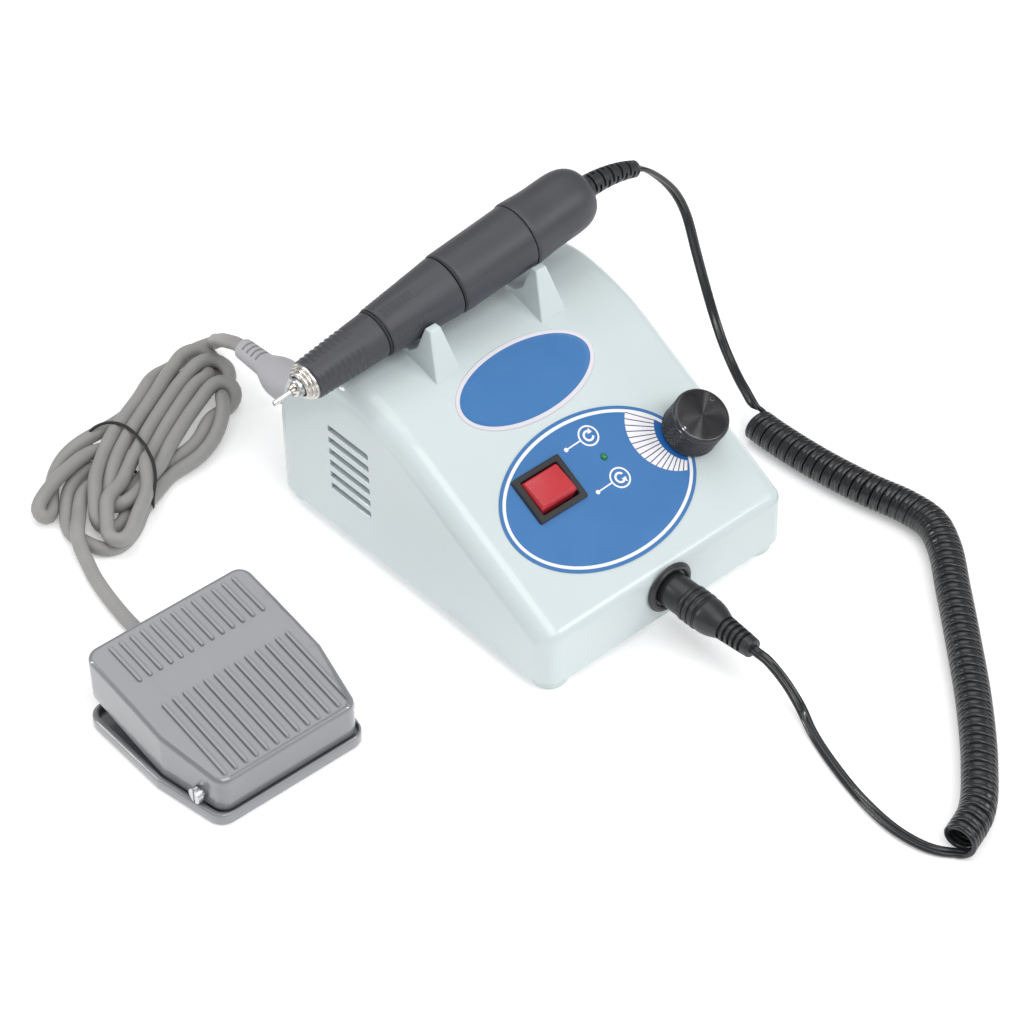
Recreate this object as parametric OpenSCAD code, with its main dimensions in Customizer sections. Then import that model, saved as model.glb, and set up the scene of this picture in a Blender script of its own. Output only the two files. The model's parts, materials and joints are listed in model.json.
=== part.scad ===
// Micromotor polisher: bench control box with a motor handpiece lying in its
// cradle, a foot pedal, and the two cords that join them. Millimetres, +Z up,
// the front of the control box faces -Y, everything stands on z = 0.

/* [Control box] */
// Width of the control box
box_w = 132; // [130:0.5:134]
// Depth of the control box
box_d = 167; // [165:0.5:169]
// Height of the housing's highest line above the table
box_top = 87.5; // [86:0.5:89]
// Slope of the control face, degrees from level
face_slope = 29.3; // [28.5:0.1:30]
// Wall thickness of the moulded shell
wall = 2.8; // [2.4:0.1:3]
// Height of the pale rubber feet
foot_h = 6.2; // [5:0.1:7]
// Number of ventilation slots in each side wall
vent_n = 6; // [3:1:7]

/* [Controls] */
// Diameter of the speed knob
knob_d = 24.2; // [23:0.2:26]
// Height of the speed knob
knob_h = 14.5; // [13:0.5:16]
// Length of the switch frame across the face
switch_w = 25; // [24:0.5:27]
// Length of the switch frame up the face
switch_l = 21; // [20.5:0.5:23]

/* [Handpiece] */
// Upward tilt of the handpiece towards its rear, degrees
hp_tilt = 6.9; // [6.5:0.1:7]
// Diameter of the blank pin held in the collet
pin_d = 2.35; // [1.6:0.05:2.36]
// Outer diameter of the motor sleeve at its rear
sleeve_d = 28.2; // [27.6:0.1:28.3]

/* [Foot pedal] */
// Width of the pedal base
pedal_w = 82; // [80:0.5:84]
// Length of the pedal base
pedal_l = 82; // [80:0.5:83]
// Height of the pedal top at its rear
pedal_h = 34; // [33:0.5:35]

/* [Cords] */
// Width of the twin handpiece cord
hcord_d = 4.4; // [4:0.1:4.6]
// Outer diameter of the curled stretch
curl_d = 14.6; // [14:0.1:15]
// Diameter of the pedal cord
pcord_d = 6.2; // [5.8:0.1:6.2]

/* [Hidden] */
$fn = 64;
eps = 0.01;

// ---- shared frame: centre of the whole outfit's footprint on the table
shift = [54.9, -0.65, 0];
module place() translate(shift) children();

// ---- control box profile, in the y-z plane
th = face_slope;
zb = foot_h - 0.2;              // lower edge of the shell
edge_r = 9;                     // rounding of the side edges
crease_r = 7;                   // rounding between front wall and sloping face
top_r = 100;                    // bend from the sloping face into the top
rear_r = 45;                    // large rounding from the top down to the rear wall
hd = box_d / 2;
face_y = -66.8;                 // reference point at the foot of the face
face_z = 39.75;
ns = [-sin(th), cos(th)];
cc = [-hd + crease_r, (ns * [face_y, face_z] - crease_r + sin(th) * (-hd + crease_r)) / cos(th)];
ct_y = face_y + (ns[1] * (box_top - face_z)) / sin(th) + top_r * tan(th / 2);
ct = [ct_y, box_top - top_r];
ra = asin((rear_r - hd + ct_y) / (top_r - rear_r));   // where the rear rounding takes over from the bend
cr = ct + (top_r - rear_r) * [-sin(ra), cos(ra)];
function polar(c, r, a) = c + r * [cos(a), sin(a)];
// side profile set in by d all round, open at the bottom
function profile(d) = concat(
    [[-hd + d, zb]],
    [for (i = [0:4]) polar(cc, crease_r - d, 180 - (90 - th) * i / 4)],
    [for (i = [0:5]) polar(ct, top_r - d, 90 + th - (th - ra) * i / 5)],
    [for (i = [1:10]) polar(cr, rear_r - d, 90 + ra - (90 + ra) * i / 10)],
    [[hd - d, zb]]);
module slab(half, d) rotate([90, 0, 90]) translate([0, 0, -half]) linear_extrude(2 * half) polygon(profile(d));

// place something on the sloping face: x across, s up the slope, h above it
module on_face(x, s, h = 0) translate([x, face_y + s * cos(th), face_z + s * sin(th)]) rotate([th, 0, 0]) translate([0, 0, h]) children();
// revolve [radius, length] points about the x, y or z direction
module rev_z(p) rotate_extrude($fn = 96) polygon(p);
module rev_x(p) rotate([0, 90, 0]) rev_z(p);
module ring_z(r0, r1, z0, z1) rev_z([[r0, z0], [r1, z0], [r1, z1], [r0, z1]]);
function ring_p(r0, r1, l0, l1) = [[r0, l0], [r1, l0], [r1, l1], [r0, l1]];
function unit(v) = v / norm(v);
// convex outline with every corner rounded by r
function rpoly(V, r, k = 6) = let (n = len(V)) [for (i = [0:n - 1])
    let (a = V[(i + n - 1) % n], b = V[i], c = V[(i + 1) % n], u = unit(b - a), w = unit(c - b),
        n1 = [u[1], -u[0]], n2 = [w[1], -w[0]], m = b - r * (n1 + n2) / (1 + n1 * n2),
        a1 = atan2(n1[1], n1[0]), a2 = atan2(n2[1], n2[0]), da = ((a2 - a1) % 360 + 360) % 360)
    for (j = [0:k]) polar(m, r, a1 + da * j / k)];
function rrect(w, l, r) = rpoly([[-w / 2, -l / 2], [w / 2, -l / 2], [w / 2, l / 2], [-w / 2, l / 2]], r);

// ---- where things sit
knob_x = 44.9; knob_s = 23.3;
sw_x = -23.5; sw_s = 32.8;
led_x = 5.7; led_s = 32.4;
panel_x = -4.8; panel_s = 22.7; panel_a = 46.6; panel_b = 32;
plate_x = -1.6; plate_s = 75.9; plate_a = 34.6; plate_b = 17.6;
sock_x = -1; sock_z = 21;
foot_x = 56; foot_y = 74;
psock_x = -49.5; psock_z = 43;
inlet_x = 34; inlet_z = 30;
fuse_x = 0; fuse_z = 30;
// cradle
post_x = 28; notch_y = 39.5; post_top = 103.4; notch_z = 89.2; notch_v = 57.3; notch_b = 16.3;
// handpiece axis
hp_y = 39.5; hp_z = 105.95;
module hp() translate([0, hp_y, hp_z]) rotate([0, -hp_tilt, 0]) children();

// ================= control box =================
module shell_outer() hull() for (a = [0:22.5:90]) slab(box_w / 2 - edge_r + edge_r * sin(a), edge_r * (1 - cos(a)));
module shell_inner() hull() {
    translate([0, 0, -eps]) slab(box_w / 2 - wall - 4, wall);
    translate([0, 0, -eps]) slab(box_w / 2 - wall, wall + 4);
}
module cradle_post() hull() {
    translate([-8.86, 10.93, 72]) cube([17.72, 2 * (notch_y - 10.93), 1]);
    translate([-2.75, 22.6, post_top - 0.5]) cube([5.5, 2 * (notch_y - 22.6), 0.5]);
}
module notch() rotate([90, 0, 90]) translate([0, 0, -50]) linear_extrude(100) polygon([
    for (s = [-1, 1]) for (z = s < 0 ? [130, notch_z] : [notch_z, 130]) [notch_y + s * (z - notch_v) * tan(notch_b), z]]);
// each post stands on the roof and is held by two pegs
peg_r = 2;
module at_pegs() for (s = [-1, 1]) for (y = [notch_y - 16, notch_y + 16]) translate([s * post_x, y, 0]) children();
module cradle_posts() color("#dbe5e4") {
    difference() {
        for (s = [-1, 1]) translate([s * post_x, 0, 0]) cradle_post();
        notch();
        // the rear arms are lower than the front ones
        translate([-100, notch_y, 95.5]) cube([200, 60, 30]);
        shell_outer();
    }
    at_pegs() translate([0, 0, box_top - 9]) cylinder(r = peg_r, h = 10);
}
module boss_at() for (x = [-1, 1]) for (y = [-1, 1]) translate([x * foot_x, y * foot_y, 0]) children();
module housing() color("#dbe5e4") {
    difference() {
        union() {
            difference() {
                shell_outer();
                shell_inner();
            }
            // screw bosses with corner ribs
            for (x = [-1, 1]) for (y = [-1, 1]) translate([x * foot_x, y * foot_y, 0]) {
                translate([0, 0, 9]) cylinder(r = 4.5, h = 18);
                translate([x > 0 ? 0 : -8, -1, 9]) cube([8, 2, 17]);
                translate([-1, y > 0 ? 0 : -8, 9]) cube([2, 8, 17]);
            }
        }
        // peg holes of the cradle posts
        at_pegs() translate([0, 0, 70]) cylinder(r = peg_r + 0.03, h = 30);
        // pilot holes
        for (x = [-1, 1]) for (y = [-1, 1]) translate([x * foot_x, y * foot_y, 8]) cylinder(r = 1.5, h = 15);
        // handpiece socket
        translate([sock_x, -hd + 10, sock_z]) rotate([90, 0, 0]) cylinder(r = 6.7, h = 20);
        // speed control, switch and lamp
        on_face(knob_x, knob_s, -12) cylinder(r = 3.55, h = 20);
        on_face(sw_x, sw_s, 0) cube([switch_w - 2.6, switch_l - 2.6, 20], center = true);
        on_face(led_x, led_s, -12) cylinder(r = 1.6, h = 20);
        // ventilation slots, both sides
        for (i = [0:vent_n - 1]) translate([-100, 22, 57.1 - 6.2 * i]) cube([200, 25, 3.1]);
        // rear openings
        translate([psock_x, hd - 10, psock_z]) rotate([-90, 0, 0]) cylinder(r = 6.1, h = 20);
        translate([fuse_x, hd - 10, fuse_z]) rotate([-90, 0, 0]) cylinder(r = 6.1, h = 20);
        translate([inlet_x - 13.1, hd - 10, inlet_z - 8.1]) cube([26.2, 20, 16.2]);
    }
}
module base_plate() color("#c9d1d0") difference() {
    union() {
        translate([0, 0, foot_h]) linear_extrude(2.6) polygon(rrect(box_w - 2 * wall - 1, box_d - 2 * wall - 1, 6.5));
        // board pillars
        for (x = [-22, 42]) for (y = [-52, 2]) translate([x, y, foot_h + 2.5]) cylinder(r = 3.2, h = 8.1);
    }
    boss_at() translate([0, 0, -1]) cylinder(r = 1.6, h = 30);
    for (x = [-22, 42]) for (y = [-52, 2]) translate([x, y, foot_h + 4]) cylinder(r = 1.3, h = 20);
    for (i = [-4:4]) translate([i * 9 - 1.5, -36, 0]) cube([3, 24, 30]);
}
module box_feet() color("#d3dddc") boss_at() rev_z([[3.6, 0.4], [4, 0], [6.6, 0], [7.4, 0.8], [8, foot_h - 0.5], [6.4, foot_h - 0.5], [6.4, foot_h], [1.7, foot_h], [1.7, 3], [3.6, 3]]);
// self-tapping screws: four through the feet into the shell, four into the board pillars
module screws() color("silver") {
    boss_at() {
        translate([0, 0, 1.2]) cylinder(r = 2.9, h = 1.8);
        translate([0, 0, 2.9]) cylinder(r = 1.45, h = 18);
    }
    for (x = [-22, 42]) for (y = [-52, 2]) translate([x, y, foot_h]) {
        translate([0, 0, 12.2]) cylinder(r = 2.6, h = 1.6);
        translate([0, 0, 5.2]) cylinder(r = 1.25, h = 7.1);
    }
}
module oval(a, b) scale([1, b / a, 1]) circle(r = a, $fn = 96);
module oval_pts(a, b, n = 72) polygon([for (i = [0:n - 1]) [a * cos(360 * i / n), b * sin(360 * i / n)]]);
module control_panel() color("#447fbe") difference() {
    on_face(panel_x, panel_s, 0) linear_extrude(0.4) oval_pts(panel_a, panel_b);
    on_face(knob_x, knob_s, -1) cylinder(r = 7.4, h = 4);
    on_face(sw_x, sw_s, 0) cube([switch_w + 0.1, switch_l + 0.1, 4], center = true);
    on_face(led_x, led_s, -1) cylinder(r = 1.6, h = 4);
}
module nameplate() color("#447fbe") intersection() {
    difference() {
        slab(48, -0.45);
        slab(50, 0);
    }
    on_face(plate_x, plate_s, -12) linear_extrude(24) oval_pts(plate_a, plate_b);
}
module speed_knob() color("#3b3b3e") on_face(knob_x, knob_s, 1.2) difference() {
    rev_z([[3.02, 12.4], [3.02, 5], [8.6, 5], [8.6, 0], [knob_d / 2 - 0.5, 0], [knob_d / 2, 0.6], [knob_d / 2, knob_h - 1.3],
        [knob_d / 2 - 0.5, knob_h - 0.6], [knob_d / 2 - 0.9, knob_h - 0.2], [knob_d / 2 - 1.4, knob_h], [0, knob_h], [0, 12.4]]);
    translate([0, 0, 8.5]) rotate([0, 90, 0]) cylinder(r = 1.55, h = 20);
}
module knob_grub_screw() color("#555558") on_face(knob_x, knob_s, 9.7) rotate([0, 90, 0]) translate([0, 0, 3.2]) difference() {
    cylinder(r = 1.5, h = 6);
    translate([0, 0, 4.5]) cylinder(r = 0.75, h = 3, $fn = 6);
}
module pot_shaft() color("silver") on_face(knob_x, knob_s, -10) cylinder(r = 3, h = 23);
module potentiometer() color("#9aa0a2") on_face(knob_x, knob_s, 0) difference() {
    union() {
        translate([0, 0, -14.4]) cylinder(r = 8.2, h = 11.2);
        translate([0, 0, -3.4]) cylinder(r = 3.5, h = 8);
        translate([-5, -13, -12.5]) cube([10, 6, 1]);
    }
    translate([0, 0, -10.4]) cylinder(r = 3.05, h = 20);
}
module pot_nut() color("#c8c8c8") on_face(knob_x, knob_s, 0) {
    ring_z(3.52, 6.3, 0.02, 0.6);
    difference() {
        translate([0, 0, 0.6]) cylinder(r = 5.7, h = 2.4, $fn = 6);
        translate([0, 0, 0]) cylinder(r = 3.52, h = 5);
    }
}
module switch_frame() color("#2d2f31") on_face(sw_x, sw_s, 0) difference() {
    union() {
        translate([0, 0, 0.02]) linear_extrude(2) polygon(rrect(switch_w, switch_l, 0.8));
        translate([-(switch_w - 3) / 2, -(switch_l - 3) / 2, -18]) cube([switch_w - 3, switch_l - 3, 18.1]);
        for (y = [-5, 0, 5]) translate([-3, y - 0.4, -25]) cube([6, 0.8, 8]);
    }
    translate([-9.5, -7.9, -10]) cube([19, 15.8, 20]);
    translate([0, 0, -3]) rotate([0, 90, 0]) cylinder(r = 1.25, h = 21.2, center = true);
}
rocker_rest = -8;
module switch_rocker() color("#d2383f") on_face(sw_x, sw_s, -3) rotate([rocker_rest, 0, 0]) {
    difference() {
        rotate([90, 0, 90]) translate([0, 0, -9.2]) linear_extrude(18.4)
            polygon([[-6.9, -1], [-4, -3.4], [4, -3.4], [6.9, -1], [6.9, 5], [5.6, 6.4], [-5.6, 6.4], [-6.9, 5]]);
        for (s = [-1, 1]) translate([s * 9.2, 0, 6.8]) rotate([0, 45, 0]) cube([1.9, 30, 1.9], center = true);
    }
    rotate([0, 90, 0]) cylinder(r = 1.2, h = 20.8, center = true);
}
module power_led() color("#3f8f55") on_face(led_x, led_s, 0) rev_z([[0, -6.5], [1.9, -6.5], [1.9, -3.2], [1.5, -3.2], [1.5, 0.3], [1.3, 0.95], [0.8, 1.35], [0, 1.5]]);
module circuit_board() color("#2f6b45") difference() {
    translate([-28, -58, foot_h + 10.6]) cube([76, 66, 1.6]);
    for (x = [-22, 42]) for (y = [-52, 2]) translate([x, y, 0]) cylinder(r = 1.5, h = 60);
}
module capacitors() color("#2c3350") for (p = [[34, -14], [34, -32]]) translate([p[0], p[1], foot_h + 12.2]) cylinder(r = 7, h = p[1] < -20 ? 16 : 24);
module heat_sink() color("#b9bcbf") translate([-14, -6, foot_h + 12.2]) {
    cube([34, 2.5, 26]);
    for (i = [0:6]) translate([i * 5.2, 2.4, 0]) cube([1.6, 7, 26]);
}
module transformer_core() color("#6d6f72") translate([-14, 42, foot_h + 2.6]) difference() {
    translate([-27, -11, 0]) cube([54, 22, 46]);
    for (s = [-1, 1]) translate([s * 13.5 - 5, -20, 9]) cube([10, 40, 28]);
}
module transformer_coil() color("#b5873f") translate([-14, 42, foot_h + 2.6]) difference() {
    translate([-18.3, -19, 9.2]) cube([36.6, 38, 27.6]);
    translate([-8.5, -11.1, 0]) cube([17, 22.2, 60]);
}
module mains_inlet() color("#2b2c2e") translate([inlet_x, hd, inlet_z]) difference() {
    union() {
        translate([-13, -16, -8]) cube([26, 16.1, 16]);
        translate([-16.5, 0, -10.5]) cube([33, 2, 21]);
    }
    rotate([-90, 0, 0]) translate([0, 0, -12]) linear_extrude(20) polygon(rrect(19.4, 9.4, 4.6));
    for (s = [-1, 1]) translate([s * 4.3, -20, 0]) rotate([-90, 0, 0]) cylinder(r = 1.18, h = 30);
}
module inlet_pins() color("#cfcfcf") for (s = [-1, 1]) translate([inlet_x + s * 4.3, hd - 22, inlet_z]) rotate([-90, 0, 0]) cylinder(r = 1.15, h = 20);
module fuse_holder() color("#2b2c2e") translate([fuse_x, hd, fuse_z]) rotate([-90, 0, 0]) difference() {
    rev_z([[0, -19], [5.9, -19], [5.9, 0], [8, 0], [8, 1.8], [6.2, 2], [5.8, 4.5], [0, 4.5]]);
    translate([-5, -0.5, 3.5]) cube([10, 1, 3]);
}
module pedal_socket() color("#2b2c2e") translate([psock_x, hd, psock_z]) rotate([-90, 0, 0])
    rev_z([[3.3, -16], [5.9, -16], [5.9, 0], [8.4, 0], [8.4, 2], [3.3, 2]]);
module handpiece_socket() color("#242628") translate([sock_x, -hd, sock_z]) rotate([90, 0, 0])
    rev_z([[5.5, -14], [6.6, -14], [6.6, 0.02], [10.8, 0.02], [11.4, 0.8], [11.4, 2.2], [10.9, 3], [9.6, 3.2], [8.6, 2.4], [8.6, 1.2], [5.5, 1.2]]);
module socket_nut() color("silver") translate([sock_x, -hd, sock_z]) rotate([90, 0, 0]) difference() {
    translate([0, 0, -6.4]) cylinder(r = 8.6, h = 2.8, $fn = 6);
    translate([0, 0, -20]) cylinder(r = 6.62, h = 40);
}

// ================= handpiece plug and cords =================
module handpiece_plug() color("#27292b") translate([sock_x, -hd, sock_z]) rotate([90, 0, 0]) rev_z(concat(
    [[0, -10], [5.4, -10], [5.4, 1.6], [7.4, 2], [7.5, 12.6]],
    [for (i = [0:2]) for (q = [[7.9, 12.8], [7.9, 14.6], [7.3, 14.8], [7.3, 15.6]]) [q[0], q[1] + 3 * i]],
    [[7.6, 22], [7.4, 25], [6.4, 29], [5.1, 31.4]],
    [for (i = [0:3]) for (q = [[4.1, 31.6], [4.1, 33], [5, 33.2], [4.9, 35.4]]) [q[0] - 0.25 * i, q[1] + 3.9 * i]],
    [[3.9, 48], [0, 48]]));

// sweep a round tube along points
function spline(P, k) = let (n = len(P)) concat([for (i = [0:n - 2]) let (a = P[max(i - 1, 0)], b = P[i], c = P[i + 1], d = P[min(i + 2, n - 1)])
    for (j = [0:k - 1]) let (t = j / k) 0.5 * (2 * b + (c - a) * t + (2 * a - 5 * b + 4 * c - d) * t * t + (3 * b - a - 3 * c + d) * t * t * t)], [P[n - 1]]);
function tangent(P, i) = unit(P[min(i + 1, len(P) - 1)] - P[max(i - 1, 0)]);
function across(u, t) = unit(u - (u * t) * t);
function carry(P, u0) = [for (i = 0, u = across(u0, tangent(P, 0)); i < len(P); i = i + 1, u = i < len(P) ? across(u, tangent(P, i)) : u) u];
module sweep(P, r, k, u0 = [0, 0, 1]) {
    U = carry(P, u0);
    n = len(P);
    pts = [for (i = [0:n - 1]) let (t = tangent(P, i), u = U[i], v = cross(t, u)) for (j = [0:k - 1]) P[i] + r * (cos(360 * j / k) * u + sin(360 * j / k) * v)];
    polyhedron(pts, concat(
        [[for (j = [0:k - 1]) j]],
        [[for (j = [k - 1:-1:0]) (n - 1) * k + j]],
        [for (i = [0:n - 2]) for (j = [0:k - 1]) [i * k + j, (i + 1) * k + j, (i + 1) * k + (j + 1) % k]],
        [for (i = [0:n - 2]) for (j = [0:k - 1]) [i * k + j, (i + 1) * k + (j + 1) % k, i * k + (j + 1) % k]]), convexity = 6);
}
// routes, from the control box outwards
lower_route = [[-1, -131.5, 21], [0, -138, 19.5], [2, -146, 13], [1.5, -155, 6], [-3, -167, 2.6], [-9, -185, 2.5],
    [-14, -206, 2.5], [-15, -222, 2.5], [-13, -236, 2.5], [-8, -247, 2.6]];
curl_route = [[-6, -246, 7.4], [10, -240, 7.4], [28, -225, 7.4], [51, -201, 7.4], [73, -175, 7.4], [91, -153, 7.4],
    [107, -133, 7.4], [113.5, -120, 7.4], [113.5, -107, 7.4], [109, -87, 7.4], [105.5, -63, 7.4], [104, -40, 7.4], [104, -28, 7.4]];
upper_route = [[104.5, -29, 12], [109.4, -24.6, 13.1], [112.6, -14.5, 11.8], [116.6, -5, 10.2], [120.5, 4, 11.2], [122.8, 12.5, 17.5], [124, 20, 28.5],
    [124.5, 26, 40.5], [124, 31, 54.5], [122, 36, 74], [117.5, 38, 86], [109.5, 39, 97.5], [98, 39.5, 109]];
module handpiece_cord_lower() color("#2c2e30") sweep(spline(lower_route, 2), hcord_d / 2, 8);
module handpiece_cord_curl() color("#2c2e30") sweep(curl_route, curl_d / 2, 12);
module handpiece_cord_upper() color("#2c2e30") sweep(spline(upper_route, 2), hcord_d / 2, 8, [0, 1, 0]);

// ================= pedal plug and cord =================
module pedal_plug() color("#a9a8ac") translate([psock_x, hd, psock_z]) rotate([-90, 0, 0]) rev_z(concat(
    [[0, -14], [3.2, -14], [3.2, 2.3], [8.2, 2.3], [8.8, 3.2], [8.8, 14], [8.2, 18], [6.6, 22], [5.2, 25.5]],
    [for (i = [0:3]) for (q = [[4.9, 26.6], [4.3, 26.8], [4.3, 28], [4.9, 28.2], [4.9, 29.6]]) [q[0] - 0.08 * i, q[1] + 3.1 * i]],
    [[4.5, 40.4], [4, 41], [0, 41]]));
pupper_route = [[-49.5, 124, 43], [-50.5, 129, 41.5], [-53.2, 136.5, 36], [-55.6, 145.5, 28], [-57, 151.5, 20.5], [-57, 155, 12]];
ptail_route = [[-141, 125, 3.5], [-146, 116, 3.5], [-151, 105, 3.5], [-156, 92, 3.5], [-160, 72, 3.5], [-162, 56, 3.5], [-163, 44, 5.2], [-163.6, 33, 7.2], [-163.7, 28, 7.4]];
hank_at = [-100.5, 138.5]; hank_turn = 20;
hank_half = 39.5; hank_r = [21.5, 18.5]; hank_v = [-1, -2.6]; hank_h = 15;
tie_u = -8; tie_turn = -22;
module at_hank() translate([hank_at[0], hank_at[1], 0]) rotate([0, 0, hank_turn]) children();
module pedal_cord_upper() color("#9c9a98") sweep(spline(pupper_route, 2), pcord_d / 2, 10, [1, 0, 0]);
module pedal_cord_tail() color("#9c9a98") sweep(spline(ptail_route, 2), pcord_d / 2, 10);
module pedal_cord_hank() color("#9c9a98") at_hank() difference() {
    linear_extrude(hank_h) {
        for (s = [0, 1]) translate([(2 * s - 1) * hank_half, hank_v[s]]) circle(r = hank_r[s]);
        translate([0, -0.8]) square([2 * hank_half, 38], center = true);
    }
    // groove for the tie
    translate([tie_u, 0, 0]) rotate([0, 0, tie_turn]) {
        translate([-2, -60, -1]) cube([4, 120, 2.2]);
        translate([-2, -60, hank_h - 1.4]) cube([4, 120, 4]);
        for (s = [-1, 1]) translate([-2, s * 30 - 0.8 - 11.4, -1]) cube([4, 22.8, 40]);
    }
}
module cord_tie() color("#2a2b2c") at_hank() translate([tie_u, 0, 0]) rotate([0, 0, tie_turn]) difference() {
    translate([-1.4, -20.7, 0]) cube([2.8, 39.8, hank_h]);
    translate([-3, -19.5, 1.2]) cube([6, 37.4, hank_h - 2.6]);
}

// ================= handpiece =================
// stations along the axis, nose towards -x
n0 = -80.3; n1 = -46; t0 = -44.5; t1 = -9.4; m0 = -8.1; m1 = 29.4; c0 = 29.7; c1 = 66.2;
sr = sleeve_d / 2;
function nose_r(l) = 8.6 + (l - n0) / (n1 - n0) * 1.55;
module nose_cone() color("#505156") hp() rev_x(concat(
    [[7, n0], [8.2, n0], [nose_r(n0 + 0.8), n0 + 0.8]],
    [for (i = [0:6]) for (q = [[0, 2.6], [-0.45, 2.75], [-0.45, 3.75], [0, 3.9]]) let (l = n0 + q[1] + 2.5 * i) [nose_r(l) + q[0], l]],
    [[nose_r(n1) - 0.2, n1 - 0.4], [nose_r(n1) - 0.4, n1], [8.25, n1], [8.25, n0 + 22], [7, n0 + 22]]));
module nose_ring() color("#c9c6c0") hp() rev_x([[4.6, n0 + 3], [6.95, n0 + 3], [6.95, n0], [7.7, n0 - 0.02], [7.9, n0 - 0.4], [7.9, n0 - 1.6], [7.4, n0 - 2.2],
    [6.3, n0 - 2.4], [6.3, n0 - 4], [5.9, n0 - 4.4], [4.6, n0 - 4.4]]);
module chuck_body() color("#8f9295") hp() rev_x([[7, -57.5], [8.2, -57.5], [8.2, n1 + 0.05], [9.5, n1 + 0.05], [9.5, -7.1], [11.9, -7.1], [11.9, -4.6], [7, -4.6],
    [7, -20], [8.3, -20], [8.3, -42], [7, -42]]);
module cam_ring() color("#b08d4a") hp() rev_x(ring_p(4.6, 8.2, -36, -29));
module twist_sleeve() color("#4d4e53") hp() difference() {
    rev_x([[9.55, t0], [10.5, t0], [10.9, t0 + 0.4], [13.25, t1 - 0.5], [12.9, t1], [9.55, t1]]);
    for (i = [0:5]) rotate([60 * i + 30, 0, 0]) translate([t0 - 3, 0, 11.6]) rotate([0, 90 - 3.83, 0]) cylinder(r = 1.15, h = 32);
}
module sleeve_rings() color("#1f2022") hp() {
    rev_x(ring_p(9.52, 10.35, n1 + 0.1, t0 - 0.4));
    rev_x(ring_p(9.52, 13.3, t1 + 0.4, m0 - 0.02));
}
module motor_sleeve() color("#505156") hp() rev_x([[9.55, m0], [13.3, m0], [13.7, m0 + 0.5], [sr, m1 - 0.4], [sr - 0.3, m1], [12.05, m1], [12.05, m0 + 0.95], [9.55, m0 + 0.95]]);
module rear_cap() color("#505156") hp() rev_x([[12.05, c0], [14.3, c0], [14.65, c0 + 0.7], [14.4, c0 + 5], [14.05, c0 + 10], [13.9, c0 + 15], [13.95, c0 + 20], [13.9, c0 + 25],
    [13.5, c0 + 29], [12.6, c0 + 32], [11.2, c0 + 34.4], [9.4, c0 + 36], [8, c1], [6.1, c1], [6.1, c1 - 3], [7.6, c1 - 3], [7.6, c1 - 6], [11.4, 54.5], [12.05, 53.5]]);
// moulded bend relief: ribs along a gentle downward curve
bend_n = 6; bend_step = 4.9; bend_deg = 4.6;
module bend(i) if (i < bend_n) {
    r = 5 - 0.28 * i;
    rotate([0, bend_deg, 0]) {
        rotate([0, 90, 0]) translate([0, 0, -0.3]) cylinder(r = r - 0.75, h = bend_step + 0.6);
        rotate([0, 90, 0]) translate([0, 0, 1.2]) cylinder(r1 = r, r2 = r - 0.2, h = bend_step - 1.2);
        translate([bend_step, 0, 0]) bend(i + 1);
    }
}
module cable_sleeve() color("#2a2c2f") hp() {
    rev_x([[0, c1 - 5.6], [7.4, c1 - 5.6], [7.4, c1 - 3.1], [6, c1 - 3.1], [6, c1 + 0.8], [5.6, c1 + 1.2], [0, c1 + 1.2]]);
    translate([c1 + 1, 0, 0]) bend(0);
}
module spindle() color("#d0d0d0") hp() rev_x([[2.2, n0 - 6.4], [3.6, n0 - 6.4], [4, n0 - 6], [4, -50], [2.5, -50], [2.5, 54], [0, 54], [0, n0 + 17], [2.2, n0 + 17]]);
module collet() color("#b9b6b0") hp() difference() {
    rev_x([[pin_d / 2, n0 - 8.6], [2.2, n0 - 8.6], [3.1, n0 - 7.2], [3.1, n0 - 6.4], [2.15, n0 - 6.4], [2.15, n0 + 14], [pin_d / 2, n0 + 14]]);
    for (i = [0:2]) rotate([120 * i, 0, 0]) translate([n0 - 12, -0.2, 0]) cube([14, 0.4, 8]);
}
pin_tip = -97.6;
module blank_pin() color("#dcdcdc") hp() rev_x([[0, pin_tip], [pin_d / 2 - 0.2, pin_tip], [pin_d / 2, pin_tip + 0.25], [pin_d / 2, n0 - 8.7], [pin_d / 2 - 0.25, n0 - 8.5], [pin_d / 2 - 0.25, n0 - 7.7], [pin_d / 2 - 0.02, n0 - 7.5], [pin_d / 2 - 0.02, n0 + 12], [0, n0 + 12]]);
module bearings() color("#c4c7c9") hp() {
    rev_x(ring_p(4.03, 6.98, n0 + 4, n0 + 8.5));
    rev_x(ring_p(4.03, 6.98, -56, -52));
    rev_x(ring_p(2.53, 5.98, 48.6, 52.6));
}
module motor_can() color("#8b8f92") hp() rev_x(ring_p(10.9, 12, -4.5, 47));
module magnets() color("#55585c") hp() for (a = [30, 210]) rotate([a, 0, 0]) rotate([0, 90, 0]) translate([0, 0, 0]) rotate_extrude(angle = 120, $fn = 96) polygon(ring_p(9, 10.86, 0, 26));
module rotor() color("#9c6b3f") hp() difference() {
    union() {
        rev_x(ring_p(2.52, 8.4, 1, 25));
        rev_x(ring_p(2.52, 7, -3, 28.4));
    }
    for (i = [0:6]) rotate([360 * i / 7, 0, 0]) translate([0.9, -0.6, 7.1]) cube([24.2, 1.2, 4]);
}
module commutator() color("#b8733a") hp() difference() {
    rev_x(ring_p(2.52, 4.5, 30, 41));
    for (i = [0:6]) rotate([360 * i / 7, 0, 0]) translate([31, -0.15, 4]) cube([12, 0.3, 2]);
}
module brushes() color("#3d3d40") hp() for (a = [0, 180]) rotate([a, 0, 0]) {
    translate([33, -1.5, 4.58]) cube([5, 3, 4.2]);
    translate([35.5, 0, 8.8]) cylinder(r = 1.2, h = 2);
}
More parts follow.
